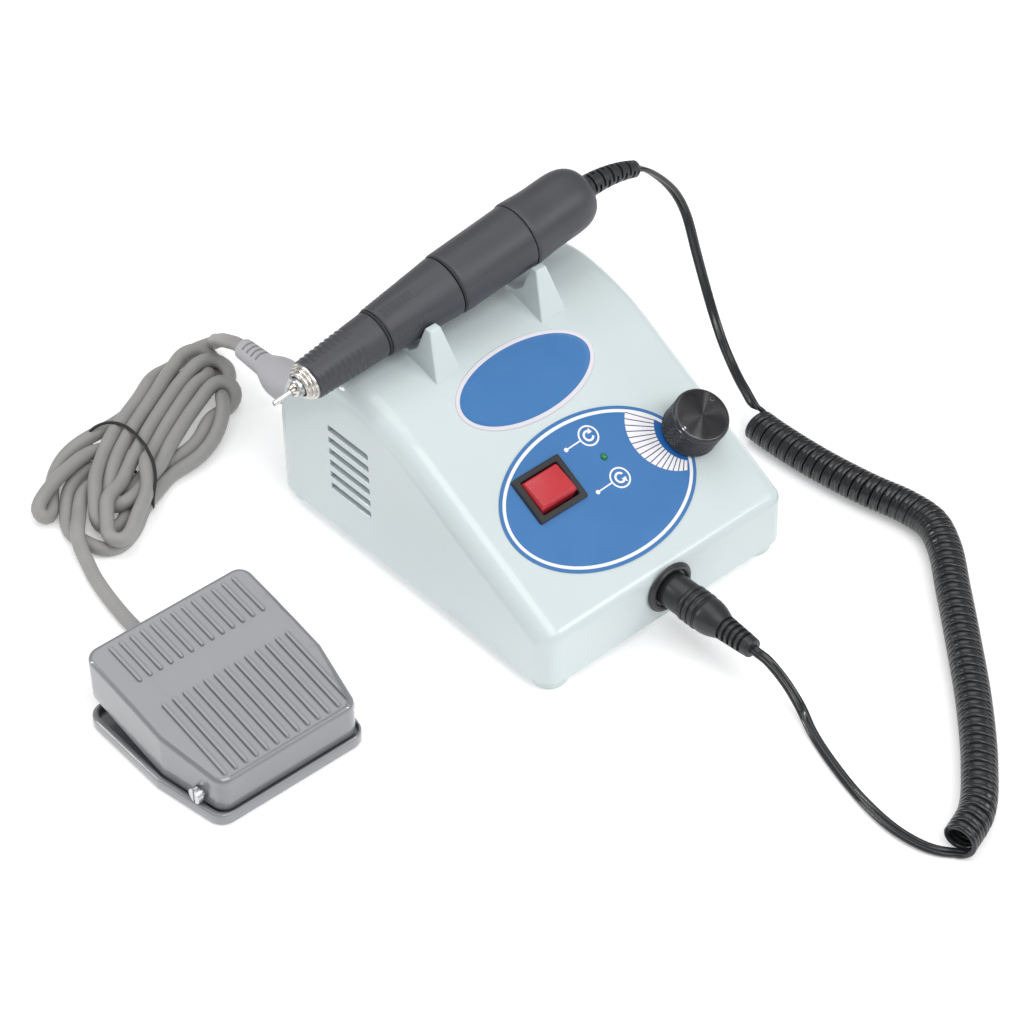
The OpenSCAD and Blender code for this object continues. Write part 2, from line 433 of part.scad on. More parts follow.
module end_plate() color("#d6cfae") hp() {
    difference() {
        union() {
            rev_x([[6.02, 47.1], [11.95, 47.1], [11.95, 53], [6.02, 53]]);
            // brush guides on a short tube
            rev_x(ring_p(9.4, 10.85, 31, 47.3));
            for (a = [0, 180]) rotate([a, 0, 0]) translate([31.5, -2.6, 5]) cube([8, 5.2, 5]);
        }
        for (a = [0, 180]) rotate([a, 0, 0]) translate([32.98, -1.52, 3]) cube([5.04, 3.04, 12]);
        for (a = [90, 270]) rotate([a, 0, 0]) translate([40, 0, 9]) rotate([0, 90, 0]) cylinder(r = 1.3, h = 20);
    }
}

// ================= foot pedal =================
pd_at = [-164.6, -10.3]; pd_turn = -1.5;
module pd() translate([pd_at[0], pd_at[1], 0]) rotate([0, 0, pd_turn]) children();
pw = pedal_w / 2; pl = pedal_l / 2;
// plan outline set in by d, tapering to the front, with its rear edge moved by q
function pd_plan(d, q = 0) = let (w = pw - d, l = pl - d) [[-w + 6, -l], [w - 6, -l], [w, -8], [w, l + q], [-w, l + q], [-w, -8]];
base_x = -0.8; base_q = -1.4; cover_q = 2.8;
hinge_y = -27.5; hinge_z = 9.3;
pfloor = 2.4;
module pedal_base() color("#8f9296") pd() difference() {
    union() {
        difference() {
            translate([base_x, 0, 0]) linear_extrude(5.6) polygon(rpoly(pd_plan(0, base_q), 7));
            translate([0, 0, pfloor]) linear_extrude(20) polygon(rpoly(pd_plan(1.7, base_q), 5.4));
        }
        // hinge lugs
        for (s = [-1, 1]) translate([s * 29.5 - 2, hinge_y - 4, 1]) cube([4, 8, 12.2]);
        // rear upstand for the cord
        translate([-8, pl - 4.4, 1]) cube([16, 3, 11.6]);
        // spring seat
        translate([0, 22, 1]) cylinder(r = 3.4, h = 4);
    }
    translate([-60, hinge_y, hinge_z]) rotate([0, 90, 0]) cylinder(r = 2.02, h = 120);
    translate([0, 0, 7.4]) rotate([-90, 0, 0]) cylinder(r = 3.15, h = 80);
    // screw seats under the plate
    for (x = [-30, 30]) for (y = [30]) translate([x, y, -1]) cylinder(r = 2, h = 10);
}
// cover outline seen from the side, set in by d
function pd_side(d) = [[-pl + 2.3 + d, 5.4], [-pl + 2.8 + d, 20.8 - d], [14, pedal_h - 3.7 - d], [pl + 0.3 - d, pedal_h - d], [pl + 0.5 - d, 14.4], [-4, 5.4]];
module pd_block(d, e) intersection() {
    linear_extrude(60) polygon(rpoly(pd_plan(2.3 + d, cover_q), max(6 - d, 1.5)));
    rotate([90, 0, 90]) translate([0, 0, -60]) linear_extrude(120) polygon(pd_side(e));
}
module pedal_cover() color("#999ca2") pd() difference() {
    union() {
        difference() {
            union() {
                pd_block(0, 3);
                pd_block(1.2, 1.2);
                pd_block(3, 0);
            }
            translate([0, 0, -2.2]) pd_block(2.2, 2);
            translate([-60, -60, -10]) cube([120, 56, 17]);
        }
        // skirt ends around the hinge
        difference() {
            intersection() {
                linear_extrude(12) polygon(rpoly(pd_plan(2.3, cover_q), 6));
                translate([-60, -60, 5.4]) cube([120, 56, 4]);
            }
            linear_extrude(60) polygon(rpoly(pd_plan(4.5, cover_q), 3.8));
        }
        // two rows of tread ribs with a smooth band between them
        for (i = [-6:6]) {
            translate([4.92 * i + 0.5, -36.2, pedal_h - 13.1]) rotate([10.31, 0, 0]) cube([1.6, 40, 1], center = false);
            translate([4.92 * i + 0.2, 17, pedal_h - 3.5]) rotate([7.72, 0, 0]) cube([1.6, 20.6, 0.8], center = false);
        }
        // presser over the switch and spring cup
        translate([0, 7.2, 17.4]) cylinder(r = 3, h = 11);
        translate([0, 22, 20]) ring_z(6.3, 7.6, 0, 10);
    }
    translate([-60, hinge_y, hinge_z]) rotate([0, 90, 0]) cylinder(r = 2.06, h = 120);
    // clearance for the cord and its upstand
    translate([-10, pl - 9, 0]) cube([20, 20, 20.5]);
}
module pedal_pin() color("#cfd0d2") pd() translate([0, hinge_y, hinge_z]) rotate([0, 90, 0]) difference() {
    union() {
        translate([0, 0, -36]) cylinder(r = 2, h = 72);
        translate([0, 0, -38.2]) cylinder(r = 3.3, h = 2.4);
        translate([0, 0, 35.7]) cylinder(r = 3.2, h = 1.6, $fn = 6);
    }
    translate([-5, -0.45, -40]) cube([10, 0.9, 2.6]);
}
spring_top = 26.6; spring_n = 6;
module pedal_spring() color("#c0c2c4") pd() translate([0, 22, 0])
    sweep([for (i = [0:12 * spring_n]) let (a = 30 * i) [4.9 * cos(a), 4.9 * sin(a), 3.3 + (spring_top - 0.9 - 3.3) * i / (12 * spring_n)]], 0.6, 6);
module pedal_switch() color("#34363a") pd() difference() {
    translate([-10, 4, pfloor]) cube([20, 6.4, 10.2]);
    translate([0, 7.2, 3.2]) cylinder(r = 1.56, h = 20);
    for (s = [-1, 1]) translate([s * 5, 0, 5.6]) rotate([-90, 0, 0]) cylinder(r = 1.2, h = 20);
}
module switch_plunger() color("#e6e6e2") pd() translate([0, 7.2, 7.8]) cylinder(r = 1.5, h = 9.2);

place() housing();
place() cradle_posts();
place() base_plate();
place() box_feet();
place() screws();
place() control_panel();
place() nameplate();
place() speed_knob();
place() knob_grub_screw();
place() pot_shaft();
place() potentiometer();
place() pot_nut();
place() switch_frame();
place() switch_rocker();
place() power_led();
place() circuit_board();
place() capacitors();
place() heat_sink();
place() transformer_core();
place() transformer_coil();
place() mains_inlet();
place() inlet_pins();
place() fuse_holder();
place() pedal_socket();
place() handpiece_socket();
place() socket_nut();
place() handpiece_plug();
place() handpiece_cord_lower();
place() handpiece_cord_curl();
place() handpiece_cord_upper();
place() pedal_plug();
place() pedal_cord_upper();
place() pedal_cord_hank();
place() pedal_cord_tail();
place() cord_tie();
place() nose_cone();
place() nose_ring();
place() chuck_body();
place() cam_ring();
place() twist_sleeve();
place() sleeve_rings();
place() motor_sleeve();
place() rear_cap();
place() cable_sleeve();
place() spindle();
place() collet();
place() blank_pin();
place() bearings();
place() motor_can();
place() magnets();
place() rotor();
place() commutator();
place() brushes();
place() end_plate();
place() pedal_base();
place() pedal_cover();
place() pedal_pin();
place() pedal_spring();
place() pedal_switch();
place() switch_plunger();
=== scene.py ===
import json
import math
import bpy
import bmesh
import numpy as np
from mathutils import Matrix, Vector
from mathutils.geometry import delaunay_2d_cdt


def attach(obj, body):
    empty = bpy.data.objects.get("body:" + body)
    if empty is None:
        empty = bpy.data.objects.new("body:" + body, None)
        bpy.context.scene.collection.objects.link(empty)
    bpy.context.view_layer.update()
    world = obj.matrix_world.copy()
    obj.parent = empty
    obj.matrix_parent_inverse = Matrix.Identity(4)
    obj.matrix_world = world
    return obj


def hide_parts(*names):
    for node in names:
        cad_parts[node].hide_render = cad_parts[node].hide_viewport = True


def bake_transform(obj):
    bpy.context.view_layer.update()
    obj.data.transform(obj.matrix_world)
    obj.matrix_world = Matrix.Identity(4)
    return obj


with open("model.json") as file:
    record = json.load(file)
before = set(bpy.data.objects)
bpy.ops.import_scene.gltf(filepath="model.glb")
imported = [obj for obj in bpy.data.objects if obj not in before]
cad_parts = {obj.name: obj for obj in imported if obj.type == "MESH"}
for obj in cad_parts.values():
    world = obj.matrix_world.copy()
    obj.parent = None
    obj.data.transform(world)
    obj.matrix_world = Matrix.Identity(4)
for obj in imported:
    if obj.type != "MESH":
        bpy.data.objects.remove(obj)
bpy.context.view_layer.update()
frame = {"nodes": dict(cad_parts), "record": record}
NODES = frame["nodes"]

# ---------------------------------------------------------------- frame
# Shapes are written in millimetres about the middle of the control box's
# footprint and moved into the row frame here.
SHIFT = np.array([54.9, -0.65, 0.0])


def row(p):
    return (np.asarray(p, float) + SHIFT) * 0.001


def rot_x(a):
    a = math.radians(a)
    return np.array([[1, 0, 0], [0, math.cos(a), -math.sin(a)], [0, math.sin(a), math.cos(a)]])


def rot_y(a):
    a = math.radians(a)
    return np.array([[math.cos(a), 0, math.sin(a)], [0, 1, 0], [-math.sin(a), 0, math.cos(a)]])


def rot_z(a):
    a = math.radians(a)
    return np.array([[math.cos(a), -math.sin(a), 0], [math.sin(a), math.cos(a), 0], [0, 0, 1]])


class Place:
    """A rotation and an offset, in millimetres of the control box's frame."""

    def __init__(self, r, t):
        self.r, self.t = np.asarray(r, float), np.asarray(t, float)

    def __call__(self, p):
        return np.asarray(p, float) @ self.r.T + self.t


SLOPE = 29.3
TH = math.radians(SLOPE)
FACE = np.array([-66.8, 39.75])
HD, ZB, TOP, BW = 83.5, 6.0, 87.5, 132.0


def on_face(x, s, h=0.0):
    r = rot_x(SLOPE)
    t = np.array([x, FACE[0] + s * math.cos(TH), FACE[1] + s * math.sin(TH)]) + r @ np.array([0, 0, h])
    return Place(r, t)


HOME = Place(np.eye(3), [0, 0, 0])
# turned parts are drawn along +z of their own place
AXIS_X = np.array([[0, 0, 1], [0, 1, 0], [-1, 0, 0]], float)   # z -> +x
HAND = Place(rot_y(-6.9) @ AXIS_X, [0, 39.5, 105.95])
FRONT = Place(rot_x(90), [-1, -HD, 21])
REAR_PLUG = Place(rot_x(-90), [-49.5, HD, 43])
PEDAL = Place(rot_z(-1.5), [-164.6, -10.3, 0])

# ---------------------------------------------------------------- camera
AZ, EL, ROLL = math.radians(-40.87), math.radians(42.85), math.radians(-1.17)
_back = np.array([math.sin(AZ) * math.cos(EL), -math.cos(AZ) * math.cos(EL), math.sin(EL)])
_right = np.array([math.cos(AZ), math.sin(AZ), 0.0])
_up = np.cross(_back, _right)
_cr, _sr = math.cos(ROLL), math.sin(ROLL)
R3 = np.array([_cr * _right + _sr * _up, -_sr * _right + _cr * _up, _back])
EYE = row(R3.T @ -np.array([7.42, -2.3, -1412.5]))
cam_data = bpy.data.cameras.new("camera")
cam_data.sensor_fit = "HORIZONTAL"
cam_data.sensor_width = 36.0
cam_data.lens = 3408 / 1024 * 36.0
cam_data.clip_start, cam_data.clip_end = 0.05, 20.0
camera = bpy.data.objects.new("camera", cam_data)
bpy.context.scene.collection.objects.link(camera)
m4 = Matrix.Identity(4)
for i in range(3):
    for j in range(3):
        m4[i][j] = R3[j][i]
    m4[i][3] = EYE[i]
camera.matrix_world = m4
bpy.context.scene.camera = camera

# ---------------------------------------------------------------- materials


def material(name, colour, rough=0.45, metal=0.0, spec=0.5, var=0.04, var_scale=14.0,
             grain=1600.0, bump=0.12, grain_depth=0.00004, rough_var=0.06, coat=0.0, coat_rough=0.1,
             brush=None, trans=0.0, emit=0.0, edge_wear_and_highlight=0.0, ior=1.5, sss=0.0, aniso=0.0, coat_ior=1.5):
    """Plastic, rubber, paint or metal: colour drifts slowly, the gloss is uneven, a fine grain lifts the surface."""
    m = bpy.data.materials.new(name)
    m.use_nodes = True
    nt = m.node_tree
    nt.nodes.clear()
    N = nt.nodes.new
    L = nt.links.new
    out = N("ShaderNodeOutputMaterial")
    b = N("ShaderNodeBsdfPrincipled")
    L(b.outputs[0], out.inputs[0])
    b.inputs["Metallic"].default_value = metal
    b.inputs["IOR"].default_value = ior
    b.inputs["Specular IOR Level"].default_value = spec
    b.inputs["Coat Weight"].default_value = coat
    b.inputs["Coat Roughness"].default_value = coat_rough
    b.inputs["Coat IOR"].default_value = coat_ior
    b.inputs["Transmission Weight"].default_value = trans
    b.inputs["Anisotropic"].default_value = aniso
    if sss:
        b.inputs["Subsurface Weight"].default_value = sss
        b.inputs["Subsurface Radius"].default_value = (0.002, 0.001, 0.001)
    if emit:
        b.inputs["Emission Color"].default_value = (*colour, 1)
        b.inputs["Emission Strength"].default_value = emit
    tc = N("ShaderNodeTexCoord")
    slow = N("ShaderNodeTexNoise")
    slow.inputs["Scale"].default_value = var_scale
    slow.inputs["Detail"].default_value = 5.0
    slow.inputs["Roughness"].default_value = 0.62
    L(tc.outputs["Object"], slow.inputs["Vector"])
    ramp = N("ShaderNodeValToRGB")
    lo = [max(c * (1 - var), 0) for c in colour]
    hi = [min(c * (1 + var), 1) for c in colour]
    ramp.color_ramp.elements[0].position, ramp.color_ramp.elements[1].position = 0.3, 0.7
    ramp.color_ramp.elements[0].color = (*lo, 1)
    ramp.color_ramp.elements[1].color = (*hi, 1)
    L(slow.outputs["Fac"], ramp.inputs["Fac"])
    colour_out = ramp.outputs["Color"]
    # convex edges are lightened where Pointiness is high: partly edge wear, partly a painted highlight along the edges
    if edge_wear_and_highlight:
        geo = N("ShaderNodeNewGeometry")
        pr = N("ShaderNodeValToRGB")
        pr.color_ramp.elements[0].position, pr.color_ramp.elements[1].position = 0.51, 0.60
        pr.color_ramp.elements[0].color = (0, 0, 0, 1)
        pr.color_ramp.elements[1].color = (edge_wear_and_highlight, edge_wear_and_highlight, edge_wear_and_highlight, 1)
        L(geo.outputs["Pointiness"], pr.inputs["Fac"])
        mix = N("ShaderNodeMix")
        mix.data_type = "RGBA"
        for s in mix.inputs:
            if s.name == "B" and s.type == "RGBA":
                s.default_value = (*[min(1, c * 2.2 + 0.06) for c in colour], 1)
        a_in = [s for s in mix.inputs if s.name == "A" and s.type == "RGBA"][0]
        f_in = [s for s in mix.inputs if s.name == "Factor" and s.type == "VALUE"][0]
        L(pr.outputs["Color"], f_in)
        L(colour_out, a_in)
        colour_out = [s for s in mix.outputs if s.type == "RGBA"][0]
    L(colour_out, b.inputs["Base Color"])
    fine = N("ShaderNodeTexNoise")
    fine.inputs["Scale"].default_value = grain
    fine.inputs["Detail"].default_value = 3.0
    src = tc.outputs["Object"]
    if brush:
        mp = N("ShaderNodeMapping")
        mp.inputs["Scale"].default_value = brush
        L(tc.outputs["Object"], mp.inputs["Vector"])
        src = mp.outputs["Vector"]
    L(src, fine.inputs["Vector"])
    rr = N("ShaderNodeMapRange")
    rr.inputs["From Min"].default_value, rr.inputs["From Max"].default_value = 0.3, 0.7
    rr.inputs["To Min"].default_value = max(rough - rough_var, 0.02)
    rr.inputs["To Max"].default_value = min(rough + rough_var, 1.0)
    L((fine if brush else slow).outputs["Fac"], rr.inputs["Value"])
    L(rr.outputs["Result"], b.inputs["Roughness"])
    bp = N("ShaderNodeBump")
    bp.inputs["Strength"].default_value = bump
    bp.inputs["Distance"].default_value = grain_depth
    L(fine.outputs["Fac"], bp.inputs["Height"])
    L(bp.outputs["Normal"], b.inputs["Normal"])
    return m


SHELL = (0.615, 0.692, 0.70)
BLUE = (0.050, 0.182, 0.435)
MAT = {
    "shell": material("shell", SHELL, rough=0.36, spec=0.45, var=0.018, grain=2300, bump=0.10, grain_depth=0.00003, coat=0.5, coat_rough=0.06),
    "base_plastic": material("base_plastic", (0.60, 0.66, 0.66), rough=0.5, var=0.03, grain=1500),
    "rubber": material("rubber", (0.035, 0.036, 0.038), rough=0.75, spec=0.3, var=0.15, grain=1200, bump=0.3),
    "steel": material("steel", (0.62, 0.63, 0.64), rough=0.3, metal=1.0, var=0.06, grain=900, brush=(1, 1, 6), bump=0.08),
    "blue_print": material("blue_print", BLUE, rough=0.36, spec=0.45, var=0.03, var_scale=40, grain=2600, bump=0.06),
    "white_print": material("white_print", (0.86, 0.85, 0.88), rough=0.4, var=0.02, grain=2600, bump=0.06),
    "deep_blue": material("deep_blue", (0.016, 0.122, 0.40), rough=0.36, spec=0.45, var=0.03, var_scale=40, grain=2600, bump=0.06),
    "plate_border": material("plate_border", (0.72, 0.70, 0.75), rough=0.32, var=0.02, grain=2000, bump=0.05),
    # knob side: its lightened knurl edges are painted highlight as well as wear
    "knob_side": material("knob_side", (0.046, 0.047, 0.052), rough=0.24, metal=0.6, var=0.12, var_scale=60, grain=2500, bump=0.1, edge_wear_and_highlight=0.5),
    "black_plastic": material("black_plastic", (0.022, 0.023, 0.026), rough=0.38, var=0.12, grain=1900, bump=0.12),
    "switch_black": material("switch_black", (0.030, 0.031, 0.033), rough=0.34, var=0.1, grain=2000, bump=0.1),
    "red_plastic": material("red_plastic", (0.53, 0.034, 0.045), rough=0.30, var=0.05, var_scale=70, grain=1500, bump=0.05, sss=0.15, coat=0.1),
    "green_lens": material("green_lens", (0.02, 0.30, 0.10), rough=0.15, var=0.15, var_scale=500, grain=900, bump=0.05, trans=0.35),
    "board": material("board", (0.03, 0.18, 0.07), rough=0.45, var=0.1, var_scale=120),
    "capacitor": material("capacitor", (0.03, 0.05, 0.13), rough=0.3, var=0.05),
    "aluminium": material("aluminium", (0.66, 0.67, 0.68), rough=0.36, metal=1.0, var=0.04, brush=(1, 1, 8), grain=700),
    "core": material("core", (0.20, 0.20, 0.21), rough=0.5, metal=0.7, var=0.1, brush=(1, 12, 1), grain=600, bump=0.3),
    "copper": material("copper", (0.50, 0.22, 0.07), rough=0.35, metal=0.9, var=0.08, brush=(1, 1, 20), grain=500, bump=0.4),
    "nickel": material("nickel", (0.72, 0.69, 0.66), rough=0.24, metal=1.0, var=0.05, var_scale=260, grain=3200, bump=0.05, grain_depth=0.00001, rough_var=0.05),
    "grip_plastic": material("grip_plastic", (0.057, 0.058, 0.066), rough=0.44, spec=0.42, var=0.06, var_scale=30, grain=2400, bump=0.16, grain_depth=0.00004, edge_wear_and_highlight=0.10),
    "chuck_steel": material("chuck_steel", (0.52, 0.53, 0.54), rough=0.3, metal=1.0, var=0.06, brush=(0.3, 0.3, 7), grain=900),
    "brass": material("brass", (0.60, 0.41, 0.15), rough=0.3, metal=1.0, var=0.05, brush=(0.3, 0.3, 7), grain=900),
    "magnet": material("magnet", (0.09, 0.09, 0.10), rough=0.6, var=0.1, grain=1200),
    "carbon": material("carbon", (0.03, 0.03, 0.03), rough=0.7, var=0.2, grain=1500),
    "phenolic": material("phenolic", (0.52, 0.45, 0.28), rough=0.5, var=0.08, grain=900),
    "black_cord": material("black_cord", (0.018, 0.019, 0.021), rough=0.17, spec=0.5, var=0.15, var_scale=60, grain=1500, bump=0.10),
    "grey_plug": material("grey_plug", (0.43, 0.425, 0.45), rough=0.5, var=0.03, var_scale=30, grain=1800, bump=0.2),
    "grey_cord": material("grey_cord", (0.315, 0.31, 0.30), rough=0.52, spec=0.4, var=0.05, var_scale=50, grain=1700, bump=0.16),
    # pedal tread: its lightened edges are partly painted highlight
    "pedal_grey": material("pedal_grey", (0.180, 0.186, 0.201), rough=0.40, spec=0.5, var=0.035, var_scale=35, grain=2100, bump=0.20, grain_depth=0.00004, edge_wear_and_highlight=0.22, coat=1.0, coat_rough=0.09, coat_ior=1.8),
    "ink": material("ink", (0.02, 0.045, 0.16), rough=0.4, var=0.05, grain=2600, bump=0.06),
    "pin_steel": material("pin_steel", (0.72, 0.71, 0.69), rough=0.24, metal=1.0, var=0.05, var_scale=120, brush=(0.3, 0.3, 6), grain=900, bump=0.07),
    "foot_rubber": material("foot_rubber", (0.63, 0.70, 0.70), rough=0.6, spec=0.35, var=0.03, grain=1500, bump=0.2),
    "white_plastic": material("white_plastic", (0.76, 0.76, 0.73), rough=0.4, var=0.03),
}


def spun_face():
    """Black turned face: tool marks run round the axis, so the reflected highlights fan out from the middle; a fan of
    light wedges is also painted into the base colour as painted highlight, so it turns with the knob.
    """
    m = bpy.data.materials.new("knob_face")
    m.use_nodes = True
    nt = m.node_tree
    nt.nodes.clear()
    N, L = nt.nodes.new, nt.links.new
    out = N("ShaderNodeOutputMaterial")
    b = N("ShaderNodeBsdfPrincipled")
    L(b.outputs[0], out.inputs[0])
    b.inputs["Metallic"].default_value = 0.85
    b.inputs["Roughness"].default_value = 0.25
    b.inputs["Anisotropic"].default_value = 0.92
    tan = N("ShaderNodeTangent")
    tan.direction_type = "RADIAL"
    tan.axis = "Z"
    L(tan.outputs[0], b.inputs["Tangent"])
    tc = N("ShaderNodeTexCoord")
    sep = N("ShaderNodeSeparateXYZ")
    L(tc.outputs["Object"], sep.inputs[0])
    cmb = N("ShaderNodeCombineXYZ")
    sq = N("ShaderNodeVectorMath")
    sq.operation = "LENGTH"
    flat = N("ShaderNodeCombineXYZ")
    L(sep.outputs[0], flat.inputs[0])
    L(sep.outputs[1], flat.inputs[1])
    L(flat.outputs[0], sq.inputs[0])
    L(sq.outputs["Value"], cmb.inputs[0])
    nz = N("ShaderNodeTexNoise")
    nz.inputs["Scale"].default_value = 4500
    nz.inputs["Detail"].default_value = 2
    L(cmb.outputs[0], nz.inputs["Vector"])
    ramp = N("ShaderNodeValToRGB")
    ramp.color_ramp.elements[0].position, ramp.color_ramp.elements[1].position = 0.3, 0.7
    ramp.color_ramp.elements[0].color = (0.125, 0.125, 0.134, 1)
    ramp.color_ramp.elements[1].color = (0.215, 0.215, 0.227, 1)
    L(nz.outputs["Fac"], ramp.inputs["Fac"])
    # painted highlight: light wedges and darker sectors round the axis are painted into the base colour
    painted_fan_angle = N("ShaderNodeTexGradient")
    painted_fan_angle.gradient_type = "RADIAL"
    L(tc.outputs["Object"], painted_fan_angle.inputs["Vector"])
    painted_fan_highlight = N("ShaderNodeValToRGB")
    painted_fan_highlight.color_ramp.interpolation = "EASE"
    for at, lift in ((0.05, 0.95), (0.108, 2.3), (0.15, 1.0), (0.30, 0.72), (0.50, 1.05), (0.575, 1.1), (0.608, 2.5), (0.64, 0.85), (0.76, 0.65), (0.90, 1.35)):
        e = painted_fan_highlight.color_ramp.elements.new(at)
        e.color = (lift / 2.5, lift / 2.5, lift / 2.5, 1)
    for e in (painted_fan_highlight.color_ramp.elements[0], painted_fan_highlight.color_ramp.elements[-1]):
        e.color = (0.46, 0.46, 0.46, 1)
    L(painted_fan_angle.outputs["Fac"], painted_fan_highlight.inputs["Fac"])
    painted_fan_tint = N("ShaderNodeVectorMath")
    painted_fan_tint.operation = "MULTIPLY"
    L(ramp.outputs["Color"], painted_fan_tint.inputs[0])
    L(painted_fan_highlight.outputs["Color"], painted_fan_tint.inputs[1])
    L(painted_fan_tint.outputs[0], b.inputs["Base Color"])
    bp = N("ShaderNodeBump")
    bp.inputs["Strength"].default_value = 0.1
    bp.inputs["Distance"].default_value = 0.00002
    L(nz.outputs["Fac"], bp.inputs["Height"])
    L(bp.outputs["Normal"], b.inputs["Normal"])
    return m


MAT["knob_face"] = spun_face()

# ---------------------------------------------------------------- mesh helpers


def piece(name, verts, faces, mats, body, place=HOME, idx=None, sharp=38, nodes=(), recalc=True, weld=1e-7, ride=True, bevel=None):
    """One mesh object from millimetre points in its own place. mats is a list of MAT names, idx the one for each face."""
    me = bpy.data.meshes.new(name)
    v = np.asarray(verts, float) * 0.001
    if place is HOME:
        v = v + SHIFT * 0.001
    me.from_pydata([tuple(q) for q in v], [], [tuple(int(i) for i in q) for q in faces])
    for k in mats:
        me.materials.append(MAT[k])
    if idx is not None:
        me.polygons.foreach_set("material_index", np.asarray(idx, np.int32))
    bm = bmesh.new()
    bm.from_mesh(me)
    bmesh.ops.delete(bm, geom=[q for q in bm.verts if not q.link_faces], context="VERTS")
    if weld:
        bmesh.ops.remove_doubles(bm, verts=bm.verts, dist=weld)
    bmesh.ops.dissolve_degenerate(bm, dist=1e-8, edges=bm.edges)
    if recalc:
        bmesh.ops.recalc_face_normals(bm, faces=bm.faces)
    if bevel:
        width, segs, angle = bevel
        edges = [e for e in bm.edges if len(e.link_faces) == 2 and e.calc_face_angle(0) > math.radians(angle)]
        bmesh.ops.bevel(bm, geom=edges, offset=width * 0.001, offset_type="OFFSET", segments=segs, profile=0.5, affect="EDGES", clamp_overlap=True)
    bm.to_mesh(me)
    bm.free()
    me.polygons.foreach_set("use_smooth", np.ones(len(me.polygons), bool))
    if sharp is not None:
        me.set_sharp_from_angle(angle=math.radians(sharp))
    o = bpy.data.objects.new(name, me)
    bpy.context.scene.collection.objects.link(o)
    if place is not HOME:
        m = Matrix.Identity(4)
        at = row(place.t)
        for i in range(3):
            for j in range(3):
                m[i][j] = place.r[i][j]
            m[i][3] = at[i]
        o.matrix_world = m
    if ride:
        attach(o, body)
    if nodes:
        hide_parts(*nodes)
    return o


def grid(nu, nv, wrap_u=False, wrap_v=False, base=0):
    """Quads of a nu x nv lattice, v fastest."""
    f = []
    for i in range(nu if wrap_u else nu - 1):
        for j in range(nv if wrap_v else nv - 1):
            a, b = i, (i + 1) % nu
            c, d = j, (j + 1) % nv
            f.append((base + a * nv + c, base + b * nv + c, base + b * nv + d, base + a * nv + d))
    return f


def fine_profile(p, step):
    """Points along a turned profile at most step apart, corners kept."""
    out = [p[0]]
    for a, b in zip(p[:-1], p[1:]):
        a, b = np.array(a, float), np.array(b, float)
        n = max(1, int(math.ceil(np.linalg.norm(b - a) / step)))
        for i in range(1, n + 1):
            out.append(tuple(a + (b - a) * i / n))
    return out


def round_profile(p, r, k=4, skip=()):
    """A turned profile with its corners rounded by r."""
    p = [np.array(q, float) for q in p]
    out = [p[0]]
    for i in range(1, len(p) - 1):
        a, b, c = p[i - 1], p[i], p[i + 1]
        if i in skip:
            out.append(b)
            continue
        la, lc = np.linalg.norm(a - b), np.linalg.norm(c - b)
        ua, uc = (a - b) / la, (c - b) / lc
        if abs(ua @ uc + 1) < 1e-6:
            out.append(b)
            continue
        t = min(r, 0.45 * la, 0.45 * lc)
        for j in range(k + 1):
            w = j / k
            out.append((1 - w) ** 2 * (b + ua * t) + 2 * w * (1 - w) * b + w * w * (b + uc * t))
    out.append(p[-1])
    return [tuple(q) for q in out]


def lathe(prof, n=96, shape=None):
    """Turned solid about z from (r, z) points; a first or last radius of 0 closes it. shape(r, z, a) gives the radius there."""
    prof = [(float(r), float(z)) for r, z in prof]
    ang = np.arange(n) * 2 * math.pi / n
    verts, faces, rings = [], [], []
    for r, z in prof:
        if r < 1e-6:
            rings.append([len(verts)])
            verts.append((0, 0, z))
        else:
            rr = np.full(n, r) if shape is None else shape(r, z, ang)
            rings.append(list(range(len(verts), len(verts) + n)))
            verts += [(rr[k] * math.cos(ang[k]), rr[k] * math.sin(ang[k]), z) for k in range(n)]
    for a, b in zip(rings[:-1], rings[1:]):
        if len(a) == 1 and len(b) == 1:
            continue
        for k in range(n):
            k2 = (k + 1) % n
            if len(a) == 1:
                faces.append((a[0], b[k], b[k2]))
            elif len(b) == 1:
                faces.append((a[k], b[0], a[k2]))
            else:
                faces.append((a[k], b[k], b[k2], a[k2]))
    for rg in (rings[0], rings[-1]):
        if len(rg) > 1:
            faces.append(tuple(rg))
    return verts, faces


def ringed(prof, n=96, shape=None):
    """Turned ring: the profile is a closed loop that stays off the axis."""
    prof = [(float(r), float(z)) for r, z in prof]
    ang = np.arange(n) * 2 * math.pi / n
    verts = []
    for r, z in prof:
        rr = np.full(n, r) if shape is None else shape(r, z, ang)
        verts += [(rr[k] * math.cos(ang[k]), rr[k] * math.sin(ang[k]), z) for k in range(n)]
    return verts, grid(len(prof), n, wrap_u=True, wrap_v=True)


def join(*parts):
    """Several (verts, faces) as one."""
    V, F = [], []
    for v, f in parts:
        b = len(V)
        V += [tuple(p) for p in v]
        F += [tuple(i + b for i in q) for q in f]
    return V, F


